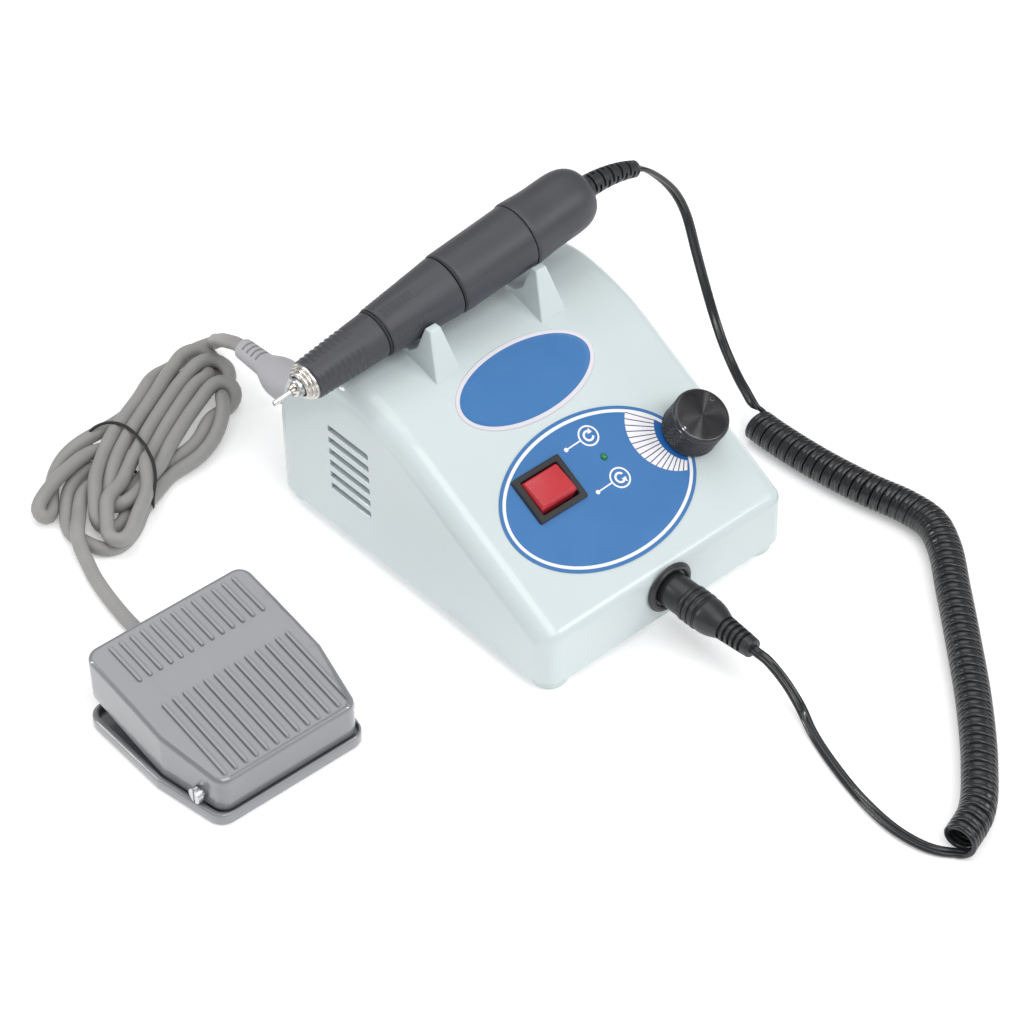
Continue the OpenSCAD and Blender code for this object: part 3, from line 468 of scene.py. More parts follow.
def smooth_path(P, step):
    """Centripetal spline through the points, resampled every step millimetres."""
    P = np.asarray(P, float)
    P = np.vstack([2 * P[0] - P[1], P, 2 * P[-1] - P[-2]])
    pts = []
    for i in range(1, len(P) - 2):
        p0, p1, p2, p3 = P[i - 1:i + 3]
        t0 = 0.0
        t1 = t0 + max(np.linalg.norm(p1 - p0), 1e-6) ** 0.5
        t2 = t1 + max(np.linalg.norm(p2 - p1), 1e-6) ** 0.5
        t3 = t2 + max(np.linalg.norm(p3 - p2), 1e-6) ** 0.5
        for t in np.linspace(t1, t2, 24, endpoint=False):
            a1 = (t1 - t) / (t1 - t0) * p0 + (t - t0) / (t1 - t0) * p1
            a2 = (t2 - t) / (t2 - t1) * p1 + (t - t1) / (t2 - t1) * p2
            a3 = (t3 - t) / (t3 - t2) * p2 + (t - t2) / (t3 - t2) * p3
            b1 = (t2 - t) / (t2 - t0) * a1 + (t - t0) / (t2 - t0) * a2
            b2 = (t3 - t) / (t3 - t1) * a2 + (t - t1) / (t3 - t1) * a3
            pts.append((t2 - t) / (t2 - t1) * b1 + (t - t1) / (t2 - t1) * b2)
    pts.append(P[-2])
    return resample(np.array(pts), step)


def resample(pts, step):
    d = np.r_[0, np.cumsum(np.linalg.norm(np.diff(pts, axis=0), axis=1))]
    n = max(2, int(round(d[-1] / step)) + 1)
    s = np.linspace(0, d[-1], n)
    return np.stack([np.interp(s, d, pts[:, k]) for k in range(3)], 1)


def relax(pts, n, keep=2):
    """Evens out small kinks, ends held."""
    pts = pts.copy()
    for _ in range(n):
        pts[keep:-keep] = 0.5 * pts[keep:-keep] + 0.25 * (pts[keep - 1:-keep - 1] + pts[keep + 1:len(pts) - keep + 1])
    return pts


def tube(path, section, ref):
    """Section (w, n) points swept along the path; ref is the direction of w at each point."""
    path, ref = np.asarray(path, float), np.asarray(ref, float)
    t = np.gradient(path, axis=0)
    t /= np.linalg.norm(t, axis=1)[:, None]
    w = ref - (ref * t).sum(1)[:, None] * t
    w /= np.linalg.norm(w, axis=1)[:, None]
    n = np.cross(t, w)
    sec = np.asarray(section, float)
    v = path[:, None, :] + w[:, None, :] * sec[None, :, 0, None] + n[:, None, :] * sec[None, :, 1, None]
    k = len(sec)
    faces = grid(len(path), k, wrap_v=True)
    faces.append(tuple(range(k)))
    faces.append(tuple((len(path) - 1) * k + i for i in range(k)))
    return v.reshape(-1, 3), faces


def carried(path, first):
    """A direction carried along the path without twist."""
    t = np.gradient(path, axis=0)
    t /= np.linalg.norm(t, axis=1)[:, None]
    u = np.zeros_like(path)
    a = np.asarray(first, float)
    for i in range(len(path)):
        a = a - (a @ t[i]) * t[i]
        a /= np.linalg.norm(a)
        u[i] = a
    return u


# ---------------------------------------------------------------- cords
lower = [[-1, -130.5, 21], [-1, -133.5, 20.7], [0, -138, 19.2], [1.6, -146, 13], [1.5, -155, 6.2], [-3, -167, 2.7], [-9, -185, 2.2],
         [-14, -206, 2.2], [-15.4, -222, 2.2], [-13.6, -234, 1.9], [-10.6, -240.5, 1.5]]
curl = [[-6, -246, 7.4], [10, -240, 7.4], [28, -225, 7.4], [51, -201, 7.4], [73, -175, 7.4], [91, -153, 7.4],
        [107, -133, 7.4], [113.5, -120, 7.4], [113.5, -107, 7.4], [109, -87, 7.4], [105.5, -63, 7.4], [104.2, -40, 7.4], [104.4, -26.9, 7.4]]
upper = [[108.3, -23.5, 11.7], [107.6, -21.7, 13.1], [107.9, -19.3, 14.4], [109.2, -15.7, 15.2], [111.7, -9.7, 15.5], [116.6, 0.2, 15.8], [121.2, 10.9, 19.4], [124, 20, 28.5],
         [124.5, 26, 40.5], [124, 31, 54.5], [122, 36.0, 74], [117.5, 38, 86], [109.5, 39, 97.5], [100.5, 39.5, 106.6], [96.2, 39.5, 109.3]]
axis = smooth_path(curl, 0.5)
axis_t = np.gradient(axis, axis=0)
axis_t /= np.linalg.norm(axis_t, axis=1)[:, None]
axis_s = np.r_[0, np.cumsum(np.linalg.norm(np.diff(axis, axis=0), axis=1))]
HELIX_R, HELIX_PITCH = 6.15, 4.58
turns = (axis_s[-1] - 1.5) / HELIX_PITCH
turns = math.floor(turns) + (25 + 90) / 360.0
per_turn = 30
k = int(round(turns * per_turn)) + 1
phi = np.linspace(-90.0, -90.0 + 360.0 * turns, k)
along = np.linspace(0, axis_s[-1], k)
c = np.stack([np.interp(along, axis_s, axis[:, i]) for i in range(3)], 1)
a = np.stack([np.interp(along, axis_s, axis_t[:, i]) for i in range(3)], 1)
a /= np.linalg.norm(a, axis=1)[:, None]
p = np.cross(a, [0, 0, 1.0])
p /= np.linalg.norm(p, axis=1)[:, None]
ph = np.radians(phi)[:, None]
# the last third of a turn opens towards the lead
c = c + a * (1.6 * np.clip((phi - phi[-1] + 110) / 110, 0, 1) ** 2)[:, None]
helix = c + HELIX_R * (np.cos(ph) * p + np.sin(ph) * np.array([0, 0, 1.0]))
lo_path = smooth_path(np.vstack([lower, helix[:3]]), 1.8)
up_path = smooth_path(np.vstack([helix[-3:], upper]), 1.8)
hand_path = np.vstack([lo_path[:-2], helix[1:-1], up_path[2:]])
n_lo, n_up = len(lo_path) - 2, len(up_path) - 2
# the twin lies flat at the plug, turns on edge half way and meets the coil flat
stations = np.linspace(0, 1, n_lo)
keys = np.array([[1, 0, 0.1], [1, 0, 0.25], [0.75, 0.2, 0.75], [0.55, 0.2, 0.75], [0.9, 0.3, 0.25], a[0]], float)
ref_lo = np.stack([np.interp(stations, [0, 0.16, 0.36, 0.6, 0.85, 1], keys[:, i]) for i in range(3)], 1)
keys_u = np.array([a[-1], [-0.87, 0.35, -0.33], [-0.85, 0.35, -0.1], [-0.8, 0.5, 0], [-0.6, 0.75, -0.2], [-0.1, 1, -0.1]], float)
ref_up = np.stack([np.interp(np.linspace(0, 1, n_up), [0, 0.07, 0.22, 0.5, 0.8, 1], keys_u[:, i]) for i in range(3)], 1)
ref = np.vstack([ref_lo, a[1:-1], ref_up])
twin = []
for q in np.arange(20) * 18.0:
    cq, sq = math.cos(math.radians(q)), math.sin(math.radians(q))
    r = max(2.2 * abs(cq), min(0.62 / max(abs(sq), 1e-6), 0.9))
    twin.append((r * cq, r * sq))
v, f = tube(hand_path, twin, ref)
hand_cord = piece("handpiece_cord", v, f, ["black_cord"], "control_box", sharp=60, recalc=True, ride=False,
                  nodes=("handpiece_cord_lower", "handpiece_cord_curl", "handpiece_cord_upper"))
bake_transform(hand_cord)

# pedal cord: out of its plug and down, folds gathered by the tie, tail to the pedal
hank_route = [
    [-49.5, 123.5, 43], [-49.4, 127.5, 42.9], [-47.9, 136.1, 38.4], [-44.6, 145.4, 31.6], [-41.0, 155, 23.2], [-35.5, 164.3, 14.6],
    [-31.6, 169.6, 8.4], [-31.9, 173.9, 4.6], [-35.8, 176.4, 3.2], [-40.2, 176.9, 3.2], [-46.2, 175.4, 3.2], [-52.2, 173.8, 3.5], [-57.8, 172.4, 4.9],
    [-62.7, 171, 6.6], [-67, 169, 8.2], [-71.2, 166.5, 9.2], [-75.5, 163.9, 9.2], [-79.8, 161.5, 9.1],
    [-84.3, 159.2, 9.3], [-88.8, 157, 9.5], [-93.2, 154.7, 9.6], [-97.6, 152.3, 9.7], [-101.9, 149.8, 10.3], [-106, 147.1, 10.5],
    [-110.2, 144.3, 10], [-114.2, 141.3, 9.7], [-118, 138.1, 9.7], [-121.8, 134.8, 10], [-125.3, 131.3, 10.2], [-128.3, 127.3, 10.2],
    [-131.2, 123.3, 9.6], [-134.1, 119.4, 8.6], [-136.8, 115.4, 7], [-137.5, 111.2, 4.9], [-133.9, 108.4, 3.5], [-129, 108.9, 3.2],
    [-124.8, 111.4, 3.2], [-121.8, 115.4, 3.2], [-118.7, 119.2, 3.3], [-114.6, 122.2, 3.5], [-110.1, 124.1, 4.1], [-105.2, 125.1, 4.4],
    [-100.2, 125.2, 3.9], [-95.2, 124.9, 3.8], [-90.3, 124.5, 4.3], [-85.3, 124.4, 4.9], [-80.4, 125, 5.1], [-75.6, 126.6, 5.1], [-71.2, 128.9, 5.1],
    [-67.1, 131.7, 5.1], [-62.9, 134.3, 4.6], [-58.3, 136, 3.6], [-53.4, 136.2, 3.2], [-48.7, 136.1, 4.7], [-46, 137.6, 8.3], [-46.6, 141, 11.7],
    [-50.2, 143.9, 12.6], [-55, 144.2, 11.4], [-59.6, 142.7, 10.3], [-64.2, 140.8, 9.9], [-68.7, 138.7, 9.9], [-73.2, 136.4, 9.9], [-77.6, 134, 9.9],
    [-81.9, 131.5, 10], [-86.2, 129, 10.1], [-90.4, 126.3, 10.2], [-94.6, 123.6, 9.9], [-99, 121.4, 8.9], [-103.7, 120.1, 7.8], [-108.5, 118.9, 6.9],
    [-113.1, 117.1, 6.9], [-117.4, 114.7, 7.9], [-121.8, 112.9, 9.1], [-126.3, 113.9, 8.2], [-127.4, 117.9, 6.2], [-125.5, 122.5, 6.3],
    [-122.3, 126.2, 7.4], [-118.7, 129.4, 8.6], [-115, 132.6, 9.4], [-111.1, 135.8, 9.7], [-107.2, 138.8, 9.7], [-103, 141.7, 9.7],
    [-98.8, 144.4, 9.8], [-94.5, 146.9, 10], [-90.1, 149.3, 10], [-85.7, 151.6, 10.1], [-81.2, 153.9, 10.2], [-76.8, 156.2, 10.3],
    [-72.4, 158.6, 10.3], [-68.2, 161.2, 10.3], [-63.9, 163.7, 10.1], [-59.4, 166, 10], [-54.9, 168.1, 10.2], [-50.4, 170.3, 10.6],
    [-45.0, 170.6, 10.2], [-40.6, 169.2, 9.2], [-38.2, 165.4, 7.4], [-38.2, 161.2, 5.4], [-40.1, 158.4, 4.4], [-43.1, 154.6, 3.2],
    [-47.5, 152.7, 3.1], [-52.5, 153, 3.2], [-57.5, 152.9, 3.3], [-62.4, 151.8, 3.3], [-67.2, 150.5, 3.3], [-72.1, 149.3, 3.3], [-76.9, 148.3, 3.3],
    [-81.9, 147.4, 3.3], [-86.8, 146.9, 3.3], [-91.8, 146.9, 3.2], [-96.8, 147.4, 3.5], [-101.7, 148.3, 4.2], [-106.5, 149.2, 4.8],
    [-111.3, 149.4, 6.2], [-116, 148.7, 7.8], [-120.8, 147.6, 8.8], [-125.6, 146.3, 9.2], [-130.4, 144.9, 9.4], [-135.2, 143.5, 9.5],
    [-139.8, 141.7, 9.4], [-144.5, 139.8, 9.1], [-148.9, 137.7, 8.4], [-152.6, 134.8, 6.9], [-151.1, 131.6, 4.3], [-146.9, 133.6, 3.2],
    [-143.7, 137.4, 3.1], [-140.9, 141.5, 3.2], [-137.9, 145.5, 3.3], [-134.6, 149.3, 3.6], [-130.8, 152.5, 4.1], [-126.6, 155.1, 4.8],
    [-122, 156.6, 5.8], [-117.1, 157.2, 6.8], [-112.2, 157.1, 7.6], [-107.2, 157, 7.7], [-102.3, 157.4, 7], [-97.5, 158.5, 5.9], [-92.8, 159.7, 4.8],
    [-88.1, 161.1, 4], [-83.4, 162.6, 3.4], [-78.6, 164.1, 3.1], [-73.7, 165.1, 3.1], [-68.7, 165.5, 3.1], [-63.7, 165.9, 3.1], [-58.7, 166.3, 3.1],
    [-53.8, 165.8, 3.1], [-49.7, 163, 3.5], [-47.5, 159.1, 5.4], [-46.9, 155.1, 8.3], [-49.7, 152.1, 10.1], [-54.7, 151.8, 10.3], [-59.5, 150.6, 10],
    [-64, 148.4, 9.9], [-68.4, 146.1, 9.9], [-72.8, 143.7, 9.9], [-77.2, 141.3, 9.9], [-81.6, 138.9, 9.9], [-85.9, 136.4, 9.7], [-90.2, 133.8, 9.6],
    [-94.4, 131.1, 9.6], [-98.6, 128.5, 10.3], [-102.4, 125.7, 11.9], [-105.5, 122, 13.2], [-108, 117.8, 13], [-110.7, 113.8, 11.5],
    [-114, 110.3, 10.6], [-118, 107.3, 10.2], [-122.2, 104.6, 9.7], [-126.3, 101.7, 9.3], [-130.2, 98.6, 9], [-134.4, 96, 8.8], [-139.2, 95.7, 8.9],
    [-141, 99.9, 9.3], [-138.9, 104.5, 9.6], [-136, 108.5, 10.2], [-133.1, 112.4, 11.3], [-130, 116, 12.7], [-125.8, 118.6, 12.1],
    [-121.4, 120.5, 10.8], [-117.1, 123.1, 10.2], [-113.1, 126.1, 10], [-109.1, 129, 10], [-105, 131.8, 10], [-100.7, 134.5, 10.1],
    [-96.5, 137.1, 10.1], [-92.3, 139.8, 10.2], [-88, 142.4, 10.1], [-83.7, 144.9, 10.1], [-79.3, 147.3, 10.1], [-74.9, 149.7, 10.1],
    [-70.5, 152, 10.1], [-66.1, 154.3, 10.1], [-61.5, 156.5, 10.1], [-56.9, 158.3, 10.2], [-52.2, 159.7, 11], [-47.3, 160.2, 11.8],
    [-42.6, 159, 11.2], [-39.6, 155.4, 10], [-39.6, 150.6, 9], [-42.2, 146.6, 7.7], [-46.3, 144.1, 6.4], [-50.4, 141.5, 7.1], [-53.1, 137.8, 9],
    [-55.7, 133.6, 8.8], [-59, 130.2, 7.3], [-62.8, 127.1, 6.4], [-66.9, 124.2, 5.9], [-71.2, 121.7, 5.5], [-75.8, 119.9, 5.1], [-80.6, 118.7, 4.6],
    [-85.6, 118.2, 4.3], [-90.6, 118.4, 3.9], [-95.5, 118.5, 3.5], [-100.3, 117, 3.5], [-104.7, 114.7, 3.9], [-109.2, 112.7, 4.3],
    [-113.8, 110.7, 4.4], [-118.3, 108.5, 4.1], [-122.3, 105.5, 3.6], [-126.4, 102.7, 3.2], [-130.8, 100.4, 3.1], [-135.5, 98.7, 3.1],
    [-140.4, 99, 3.1], [-144.2, 102, 3.1], [-145.9, 106.7, 3.1], [-147, 111.5, 3.1], [-148, 116.4, 3.1], [-147.2, 121.3, 3.2], [-144.8, 125.7, 3.3],
    [-141.9, 129.7, 3.5], [-138.9, 133.7, 3.7], [-135.6, 137.5, 3.9], [-131.7, 140.6, 4], [-127.3, 142.9, 3.8], [-122.6, 144.5, 3.4],
    [-117.6, 144.9, 3.1], [-113.4, 142.6, 3.3], [-114.2, 138.1, 3.3], [-118.7, 136.1, 3.5], [-123.6, 135.5, 4.1], [-128.3, 134.2, 5],
    [-132.4, 131.4, 5.7], [-135.9, 127.9, 6.1], [-139.1, 124.1, 6.3], [-142.1, 120.2, 7.1], [-145.1, 116.4, 8.5], [-148.2, 112.6, 9.1],
    [-150.7, 108.7, 7.4], [-152, 104.7, 4.8], [-153.2, 100.1, 3.3], [-154.8, 95.4, 3.1], [-156.3, 90.6, 3.1], [-157.5, 85.7, 3.1],
    [-158.5, 80.8, 3.1], [-159.4, 75.9, 3.1], [-160.2, 71, 3.1], [-160.9, 66, 3.1], [-161.5, 61.1, 3.2], [-162, 56.1, 3.4], [-162.5, 51.2, 4],
    [-162.8, 46.3, 4.8], [-163.2, 41.3, 5.7], [-163.4, 36.4, 6.6], [-163.6, 31.5, 7.3], [-163.7, 29, 7.4],
]
pedal_path = relax(smooth_path(hank_route, 2.0), 2)
PC = 3.1
circle = [(PC * math.cos(q), PC * math.sin(q)) for q in np.arange(16) * math.pi / 8]
v, f = tube(pedal_path, circle, carried(pedal_path, [1, 0, 0]))
pedal_cord = piece("pedal_cord", v, f, ["grey_cord"], "control_box", sharp=60,
                   nodes=("pedal_cord_upper", "pedal_cord_hank", "pedal_cord_tail"))

# thin tie round the folds
tie_route = [[-108.1, 156.8, 11.2], [-104.3, 156.4, 12.0], [-101.2, 154.3, 12.8], [-99.1, 150.9, 13.5], [-97.7, 146.7, 13.7], [-97.5, 141.7, 13.9],
             [-98.2, 136.2, 14.3], [-99.4, 130.5, 14.8], [-101.5, 124.7, 15.5], [-103.4, 119.6, 15.4], [-105.7, 115.3, 14.7], [-108.4, 111.4, 13.8],
             [-111.0, 108.9, 12.0], [-113.0, 107.4, 9.2], [-113.6, 107.4, 5.2], [-112.2, 109.8, 1.4], [-109.2, 115.0, 0.7], [-106.4, 122.2, 0.7],
             [-104.3, 130.9, 0.7], [-103.7, 137.5, 0.7], [-104.1, 144.0, 0.7], [-105.6, 150.5, 0.8], [-108.6, 156.0, 2.6], [-110.0, 158.2, 6.4]]
tie_path = smooth_path(tie_route[-3:] + tie_route + tie_route[:3], 1.0)
half = len(tie_path) // 2
gap = np.linalg.norm(tie_path - np.array(tie_route[0]), axis=1)
tie_path = tie_path[int(np.argmin(gap[:half])):half + int(np.argmin(gap[half:]))]
v, f = tube(tie_path, [(0.72 * math.cos(q), 0.62 * math.sin(q)) for q in np.arange(10) * math.pi / 5], np.tile([0.96, 0.27, 0.0], (len(tie_path), 1)))
tie = piece("tie", v, grid(len(tie_path), 10, wrap_u=True, wrap_v=True), ["rubber"], "control_box", sharp=60, nodes=("cord_tie",))

# ---------------------------------------------------------------- flat pieces with holes and print


def ellipse(cx, cy, a, b, n=120):
    t = np.arange(n) * 2 * math.pi / n
    return np.stack([cx + a * np.cos(t), cy + b * np.sin(t)], 1)


def rpoly(V, r, k=6):
    """Convex outline with every corner rounded by r."""
    V = [np.array(q, float) for q in V]
    out = []
    for i in range(len(V)):
        a, b, c = V[i - 1], V[i], V[(i + 1) % len(V)]
        u, w = (b - a) / np.linalg.norm(b - a), (c - b) / np.linalg.norm(c - b)
        n1, n2 = np.array([u[1], -u[0]]), np.array([w[1], -w[0]])
        m = b - r * (n1 + n2) / (1 + n1 @ n2)
        a1, a2 = math.atan2(n1[1], n1[0]), math.atan2(n2[1], n2[0])
        da = (a2 - a1) % (2 * math.pi)
        out += [m + r * np.array([math.cos(a1 + da * j / k), math.sin(a1 + da * j / k)]) for j in range(k + 1)]
    return np.array(out)


def rrect(cx, cy, w, l, r, k=5):
    return rpoly([[-w / 2, -l / 2], [w / 2, -l / 2], [w / 2, l / 2], [-w / 2, l / 2]], r, k) + [cx, cy]


def within(loop, x, y):
    lx, ly = loop[:, 0], loop[:, 1]
    mx, my = np.roll(lx, -1), np.roll(ly, -1)
    hit = ((ly > y) != (my > y)) & (x < (mx - lx) * (y - ly) / np.where(my == ly, 1e-12, my - ly) + lx)
    return bool(hit.sum() % 2)


def cdt(loops, pick, extra=()):
    """Triangles between closed loops; pick(x, y) gives each one's material, or None where it is open."""
    pts, edges = [], []
    for lp in loops:
        b, n = len(pts), len(lp)
        pts += [Vector((float(x), float(y))) for x, y in lp]
        edges += [(b + i, b + (i + 1) % n) for i in range(n)]
    pts += [Vector((float(x), float(y))) for x, y in extra]
    v, e, f, *_ = delaunay_2d_cdt(pts, edges, [], 0, 1e-5)
    V = np.array([(q.x, q.y) for q in v])
    F, M = [], []
    for t in f:
        x, y = V[list(t)].mean(0)
        m = pick(x, y)
        if m is not None:
            F.append(tuple(t))
            M.append(m)
    return V, F, M


def sheet(V, F, M, top, bottom, wall=0):
    """Solid sheet: the triangles on top, again below, and a wall along every free edge."""
    n = len(V)
    T = np.array([top(x, y) for x, y in V], float)
    B = np.array([bottom(x, y) for x, y in V], float)
    faces = list(F) + [tuple(n + i for i in reversed(t)) for t in F]
    idx = list(M) + [wall] * len(F)
    used = {(a, b) for t in F for a, b in zip(t, t[1:] + t[:1])}
    for a, b in used:
        if (b, a) not in used:
            faces.append((b, a, n + a, n + b))
            idx.append(wall)
    return np.vstack([T, B]), faces, idx


def stack(loops, cap_first=True, cap_last=True):
    """Closed 3-D loops of equal length joined into one skin."""
    n = len(loops[0])
    V = np.vstack(loops)
    F = grid(len(loops), n, wrap_v=True)
    if cap_first:
        F.append(tuple(range(n)))
    if cap_last:
        F.append(tuple((len(loops) - 1) * n + i for i in range(n)))
    return V, F


def level(loop, z):
    return np.c_[loop, np.full(len(loop), float(z))]


# ---------------------------------------------------------------- control box shell
NS = np.array([-math.sin(TH), math.cos(TH)])
CR, TR, RR, ER, WALL = 7.0, 100.0, 45.0, 9.0, 2.8
CCY = -HD + CR
CC = np.array([CCY, (NS @ FACE - CR + math.sin(TH) * CCY) / math.cos(TH)])
CT = np.array([FACE[0] + NS[1] * (TOP - FACE[1]) / math.sin(TH) + TR * math.tan(TH / 2), TOP - TR])
RA = math.asin((RR - HD + CT[0]) / (TR - RR))      # where the rear rounding takes over from the bend
CB = CT + (TR - RR) * np.array([-math.sin(RA), math.cos(RA)])
N_C, N_T, N_R = 12, 40, 36


def profile(d):
    """Side outline of the shell set in by d: up the front, over the crease, the bend and the rear edge, down the back."""
    out = [(-HD + d, ZB)]
    for i in range(N_C + 1):
        q = math.radians(180 - (90 - SLOPE) * i / N_C)
        if d < CR:
            out.append(tuple(CC + (CR - d) * np.array([math.cos(q), math.sin(q)])))
        else:
            y = -HD + d
            out.append((y, (NS @ FACE - d + math.sin(TH) * y) / math.cos(TH)))
    for i in range(N_T + 1):
        q = math.pi / 2 + TH - (TH - RA) * i / N_T
        out.append(tuple(CT + (TR - d) * np.array([math.cos(q), math.sin(q)])))
    for i in range(1, N_R + 1):
        q = (math.pi / 2 + RA) * (1 - i / N_R)
        out.append(tuple(CB + (RR - d) * np.array([math.cos(q), math.sin(q)])))
    out.append((HD - d, ZB))
    return np.array(out)


I_FACE = N_C + 1                 # the flat sloping face starts at this profile point
I_REAR = N_C + N_T + N_R + 2     # the flat rear wall starts here
N_UP = 5                         # the pedal socket's hole reaches this many steps up the rounding
N_P = I_REAR + 2


def skin(t):
    """Outer (t = 0) or inner (t = wall) skin of the shell with its openings; returns points, faces, rim and hole loops."""
    steps = np.radians(np.linspace(0, 90, 13))
    r = ER - t
    rows = [(-(BW / 2 - ER + r * math.sin(q)), t + r * (1 - math.cos(q))) for q in steps[::-1]]
    rows += [(BW / 2 - ER + r * math.sin(q), t + r * (1 - math.cos(q))) for q in steps]
    V = np.vstack([np.c_[np.full(N_P, x), profile(d)] for x, d in rows])
    F = []
    for i in range(len(rows) - 1):
        for j in range(N_P - 1):
            if i == 12 and (j == I_FACE or I_REAR - N_UP <= j <= I_REAR):
                continue
            F.append((i * N_P + j, (i + 1) * N_P + j, (i + 1) * N_P + j + 1, i * N_P + j + 1))
    V, holes = list(map(tuple, V)), []

    def fill(outline, cuts, to3d):
        P, T, _ = cdt([outline] + cuts, lambda x, y: 0 if within(outline, x, y) and not any(within(c, x, y) for c in cuts) else None)
        b = len(V)
        V.extend(map(tuple, [to3d(x, y) for x, y in P]))
        F.extend(tuple(b + k for k in q) for q in T)
        holes.extend([np.array([to3d(x, y) for x, y in c]) for c in cuts])

    half = BW / 2 - ER
    a, b = profile(t)[I_FACE], profile(t)[I_FACE + 1]
    s0, s1 = [(q - FACE) @ np.array([math.cos(TH), math.sin(TH)]) for q in (a, b)]
    on = on_face(0, 0, -t)
    fill(np.array([[-half, s0], [half, s0], [half, s1], [-half, s1]]),
         [rrect(-23.5, 32.8, 22.4, 18.4, 0.6, 3), ellipse(44.9, 23.3, 3.6, 3.6, 32), ellipse(5.7, 32.4, 1.6, 1.6, 24)],
         lambda x, s: on([x, s, 0]))
    wall = profile(t)[I_REAR - N_UP:I_REAR + 2][::-1]
    fill(np.array([(half, z) for _, z in wall] + [(-half, z) for _, z in wall[::-1]]),
         [rrect(34, 30, 26.2, 16.2, 0.8, 3), ellipse(0, 30, 6.1, 6.1, 40), ellipse(-49.5, 43, 6.1, 6.1, 40)],
         lambda x, z: (x, float(np.interp(z, wall[:, 1], wall[:, 0])), z))
    end = profile(ER)
    keep = [0]
    for j in range(1, N_P):
        if np.linalg.norm(end[j] - end[keep[-1]]) > 1e-6:
            keep.append(j)
    end = end[keep]
    for side in (-1, 1):
        grow = 0.2 if t == 0 else 0.0
        vents = [rrect(34.5, 58.65 - 6.2 * i, 25 + 2 * grow, 3.1 + 2 * grow, 0.5 + grow, 3) for i in range(6)]
        fill(end, vents, lambda y, z, x=side * (BW / 2 - t): (x, y, z))
    n = len(rows)
    rim = [i * N_P for i in range(n)] + [i * N_P + N_P - 1 for i in range(n - 1, -1, -1)]
    return V, F, [V[k] for k in rim], holes


ov, of, orim, oholes = skin(0.0)
iv, inf, irim, iholes = skin(WALL)
parts = [(ov, of), (iv, inf), stack([np.array(orim), np.array(irim)], False, False)]
for k, (a, b) in enumerate(zip(oholes, iholes)):
    if k >= 6:
        # vent mouths are softened: a short flare, then straight through
        c = b.copy()
        c[:, 0] = a[:, 0] - np.sign(a[:, 0]) * 0.2
        parts.append(stack([a, c, b], False, False))
    else:
        parts.append(stack([a, b], False, False))
v, f = join(*parts)
shell = piece("shell_moulding", v, f, ["shell"], "control_box", sharp=34, nodes=("housing",), weld=2e-6)
shell.modifiers.new("normals", "WEIGHTED_NORMAL").keep_sharp = True

# cradle posts
outline = round_profile([(10.93, 72), (22.6, 103.4), (26.02, 103.4), (29.2, 92.5), (33.2, 89.2), (45.8, 89.2), (49.6, 92.0), (50.67, 95.5), (59.34, 95.5), (68.07, 72)], 1.2, 4, skip=(1, 2, 7, 8))
vs, fs = [], []
for s in (-1, 1):
    b = len(vs)
    n = len(outline)
    for e in (-1, 1):
        vs += [(s * 28 + e * (7.3 - 4.55 * (z - 80) / 23.4), y, z) for y, z in outline]
    fs += [tuple(b + i for i in range(n)), tuple(b + n + i for i in range(n))]
    fs += [(b + i, b + (i + 1) % n, b + n + (i + 1) % n, b + n + i) for i in range(n)]
posts = piece("cradle_arms", vs, fs, ["shell"], "control_box", sharp=42, nodes=("cradle_posts",), bevel=(0.7, 3, 24))
posts.modifiers.new("normals", "WEIGHTED_NORMAL").keep_sharp = True

# ---------------------------------------------------------------- printed control panel
PX, PS = -4.8, 22.7
KX, KS = 44.9, 23.3
FX, FS, FR = 44.6, 24.4, 14.1
GX, GS, GR = 39.3, 28.8, 19.7
E1, E2, E3 = (46.6, 32.0), (45.1, 30.5), (43.7, 29.1)
hole_sw = rrect(-23.5, 32.8, 25.1, 21.1, 0.85, 4)
hole_knob = ellipse(KX, KS, 7.4, 7.4, 48)
hole_led = ellipse(5.7, 32.4, 1.6, 1.6, 24)


def bar(p, q, w):
    """Straight stroke of width w from p to q."""
    p, q = np.array(p, float), np.array(q, float)
    u = (q - p) / np.linalg.norm(q - p)
    n = np.array([-u[1], u[0]]) * w / 2
    return np.array([p + n, p - n, q - n, q + n])


def arc_band(cx, cy, r, w, a0, a1, n=28):
    t = np.radians(np.linspace(a0, a1, n))
    o = np.stack([cx + (r + w / 2) * np.cos(t), cy + (r + w / 2) * np.sin(t)], 1)
    i = np.stack([cx + (r - w / 2) * np.cos(t[::-1]), cy + (r - w / 2) * np.sin(t[::-1])], 1)
    return np.vstack([o, i])


white = []
for cx, cy, way in ((5.8, 43.0, 1), (6.0, 21.9, -1)):
    white.append(("ring", ellipse(cx, cy, 4.6, 4.6, 64), ellipse(cx, cy, 3.85, 3.85, 64)))
    white.append(("solid", arc_band(cx, cy, 2.0, 0.95, 62 if way > 0 else 25, 335 if way > 0 else 298)))
    tip = math.radians(52 if way > 0 else 308)
    c0 = np.array([cx, cy]) + 2.0 * np.array([math.cos(tip), math.sin(tip)])
    tang = np.array([math.sin(tip), -math.cos(tip)]) * (1 if way > 0 else -1)
    rad = np.array([math.cos(tip), math.sin(tip)])
    white.append(("solid", np.array([c0 + tang * 1.5, c0 - tang * 0.35 + rad * 1.45, c0 - tang * 0.35 - rad * 1.35])))
    white.append(("solid", bar((cx - 4.4, cy - 0.05), (cx - 12.0, cy - 0.3), 0.62)))
    white.append(("solid", ellipse(cx - 12.2, cy - 0.3, 0.95, 0.95, 24)))
gaps = []
N_BAR = 16
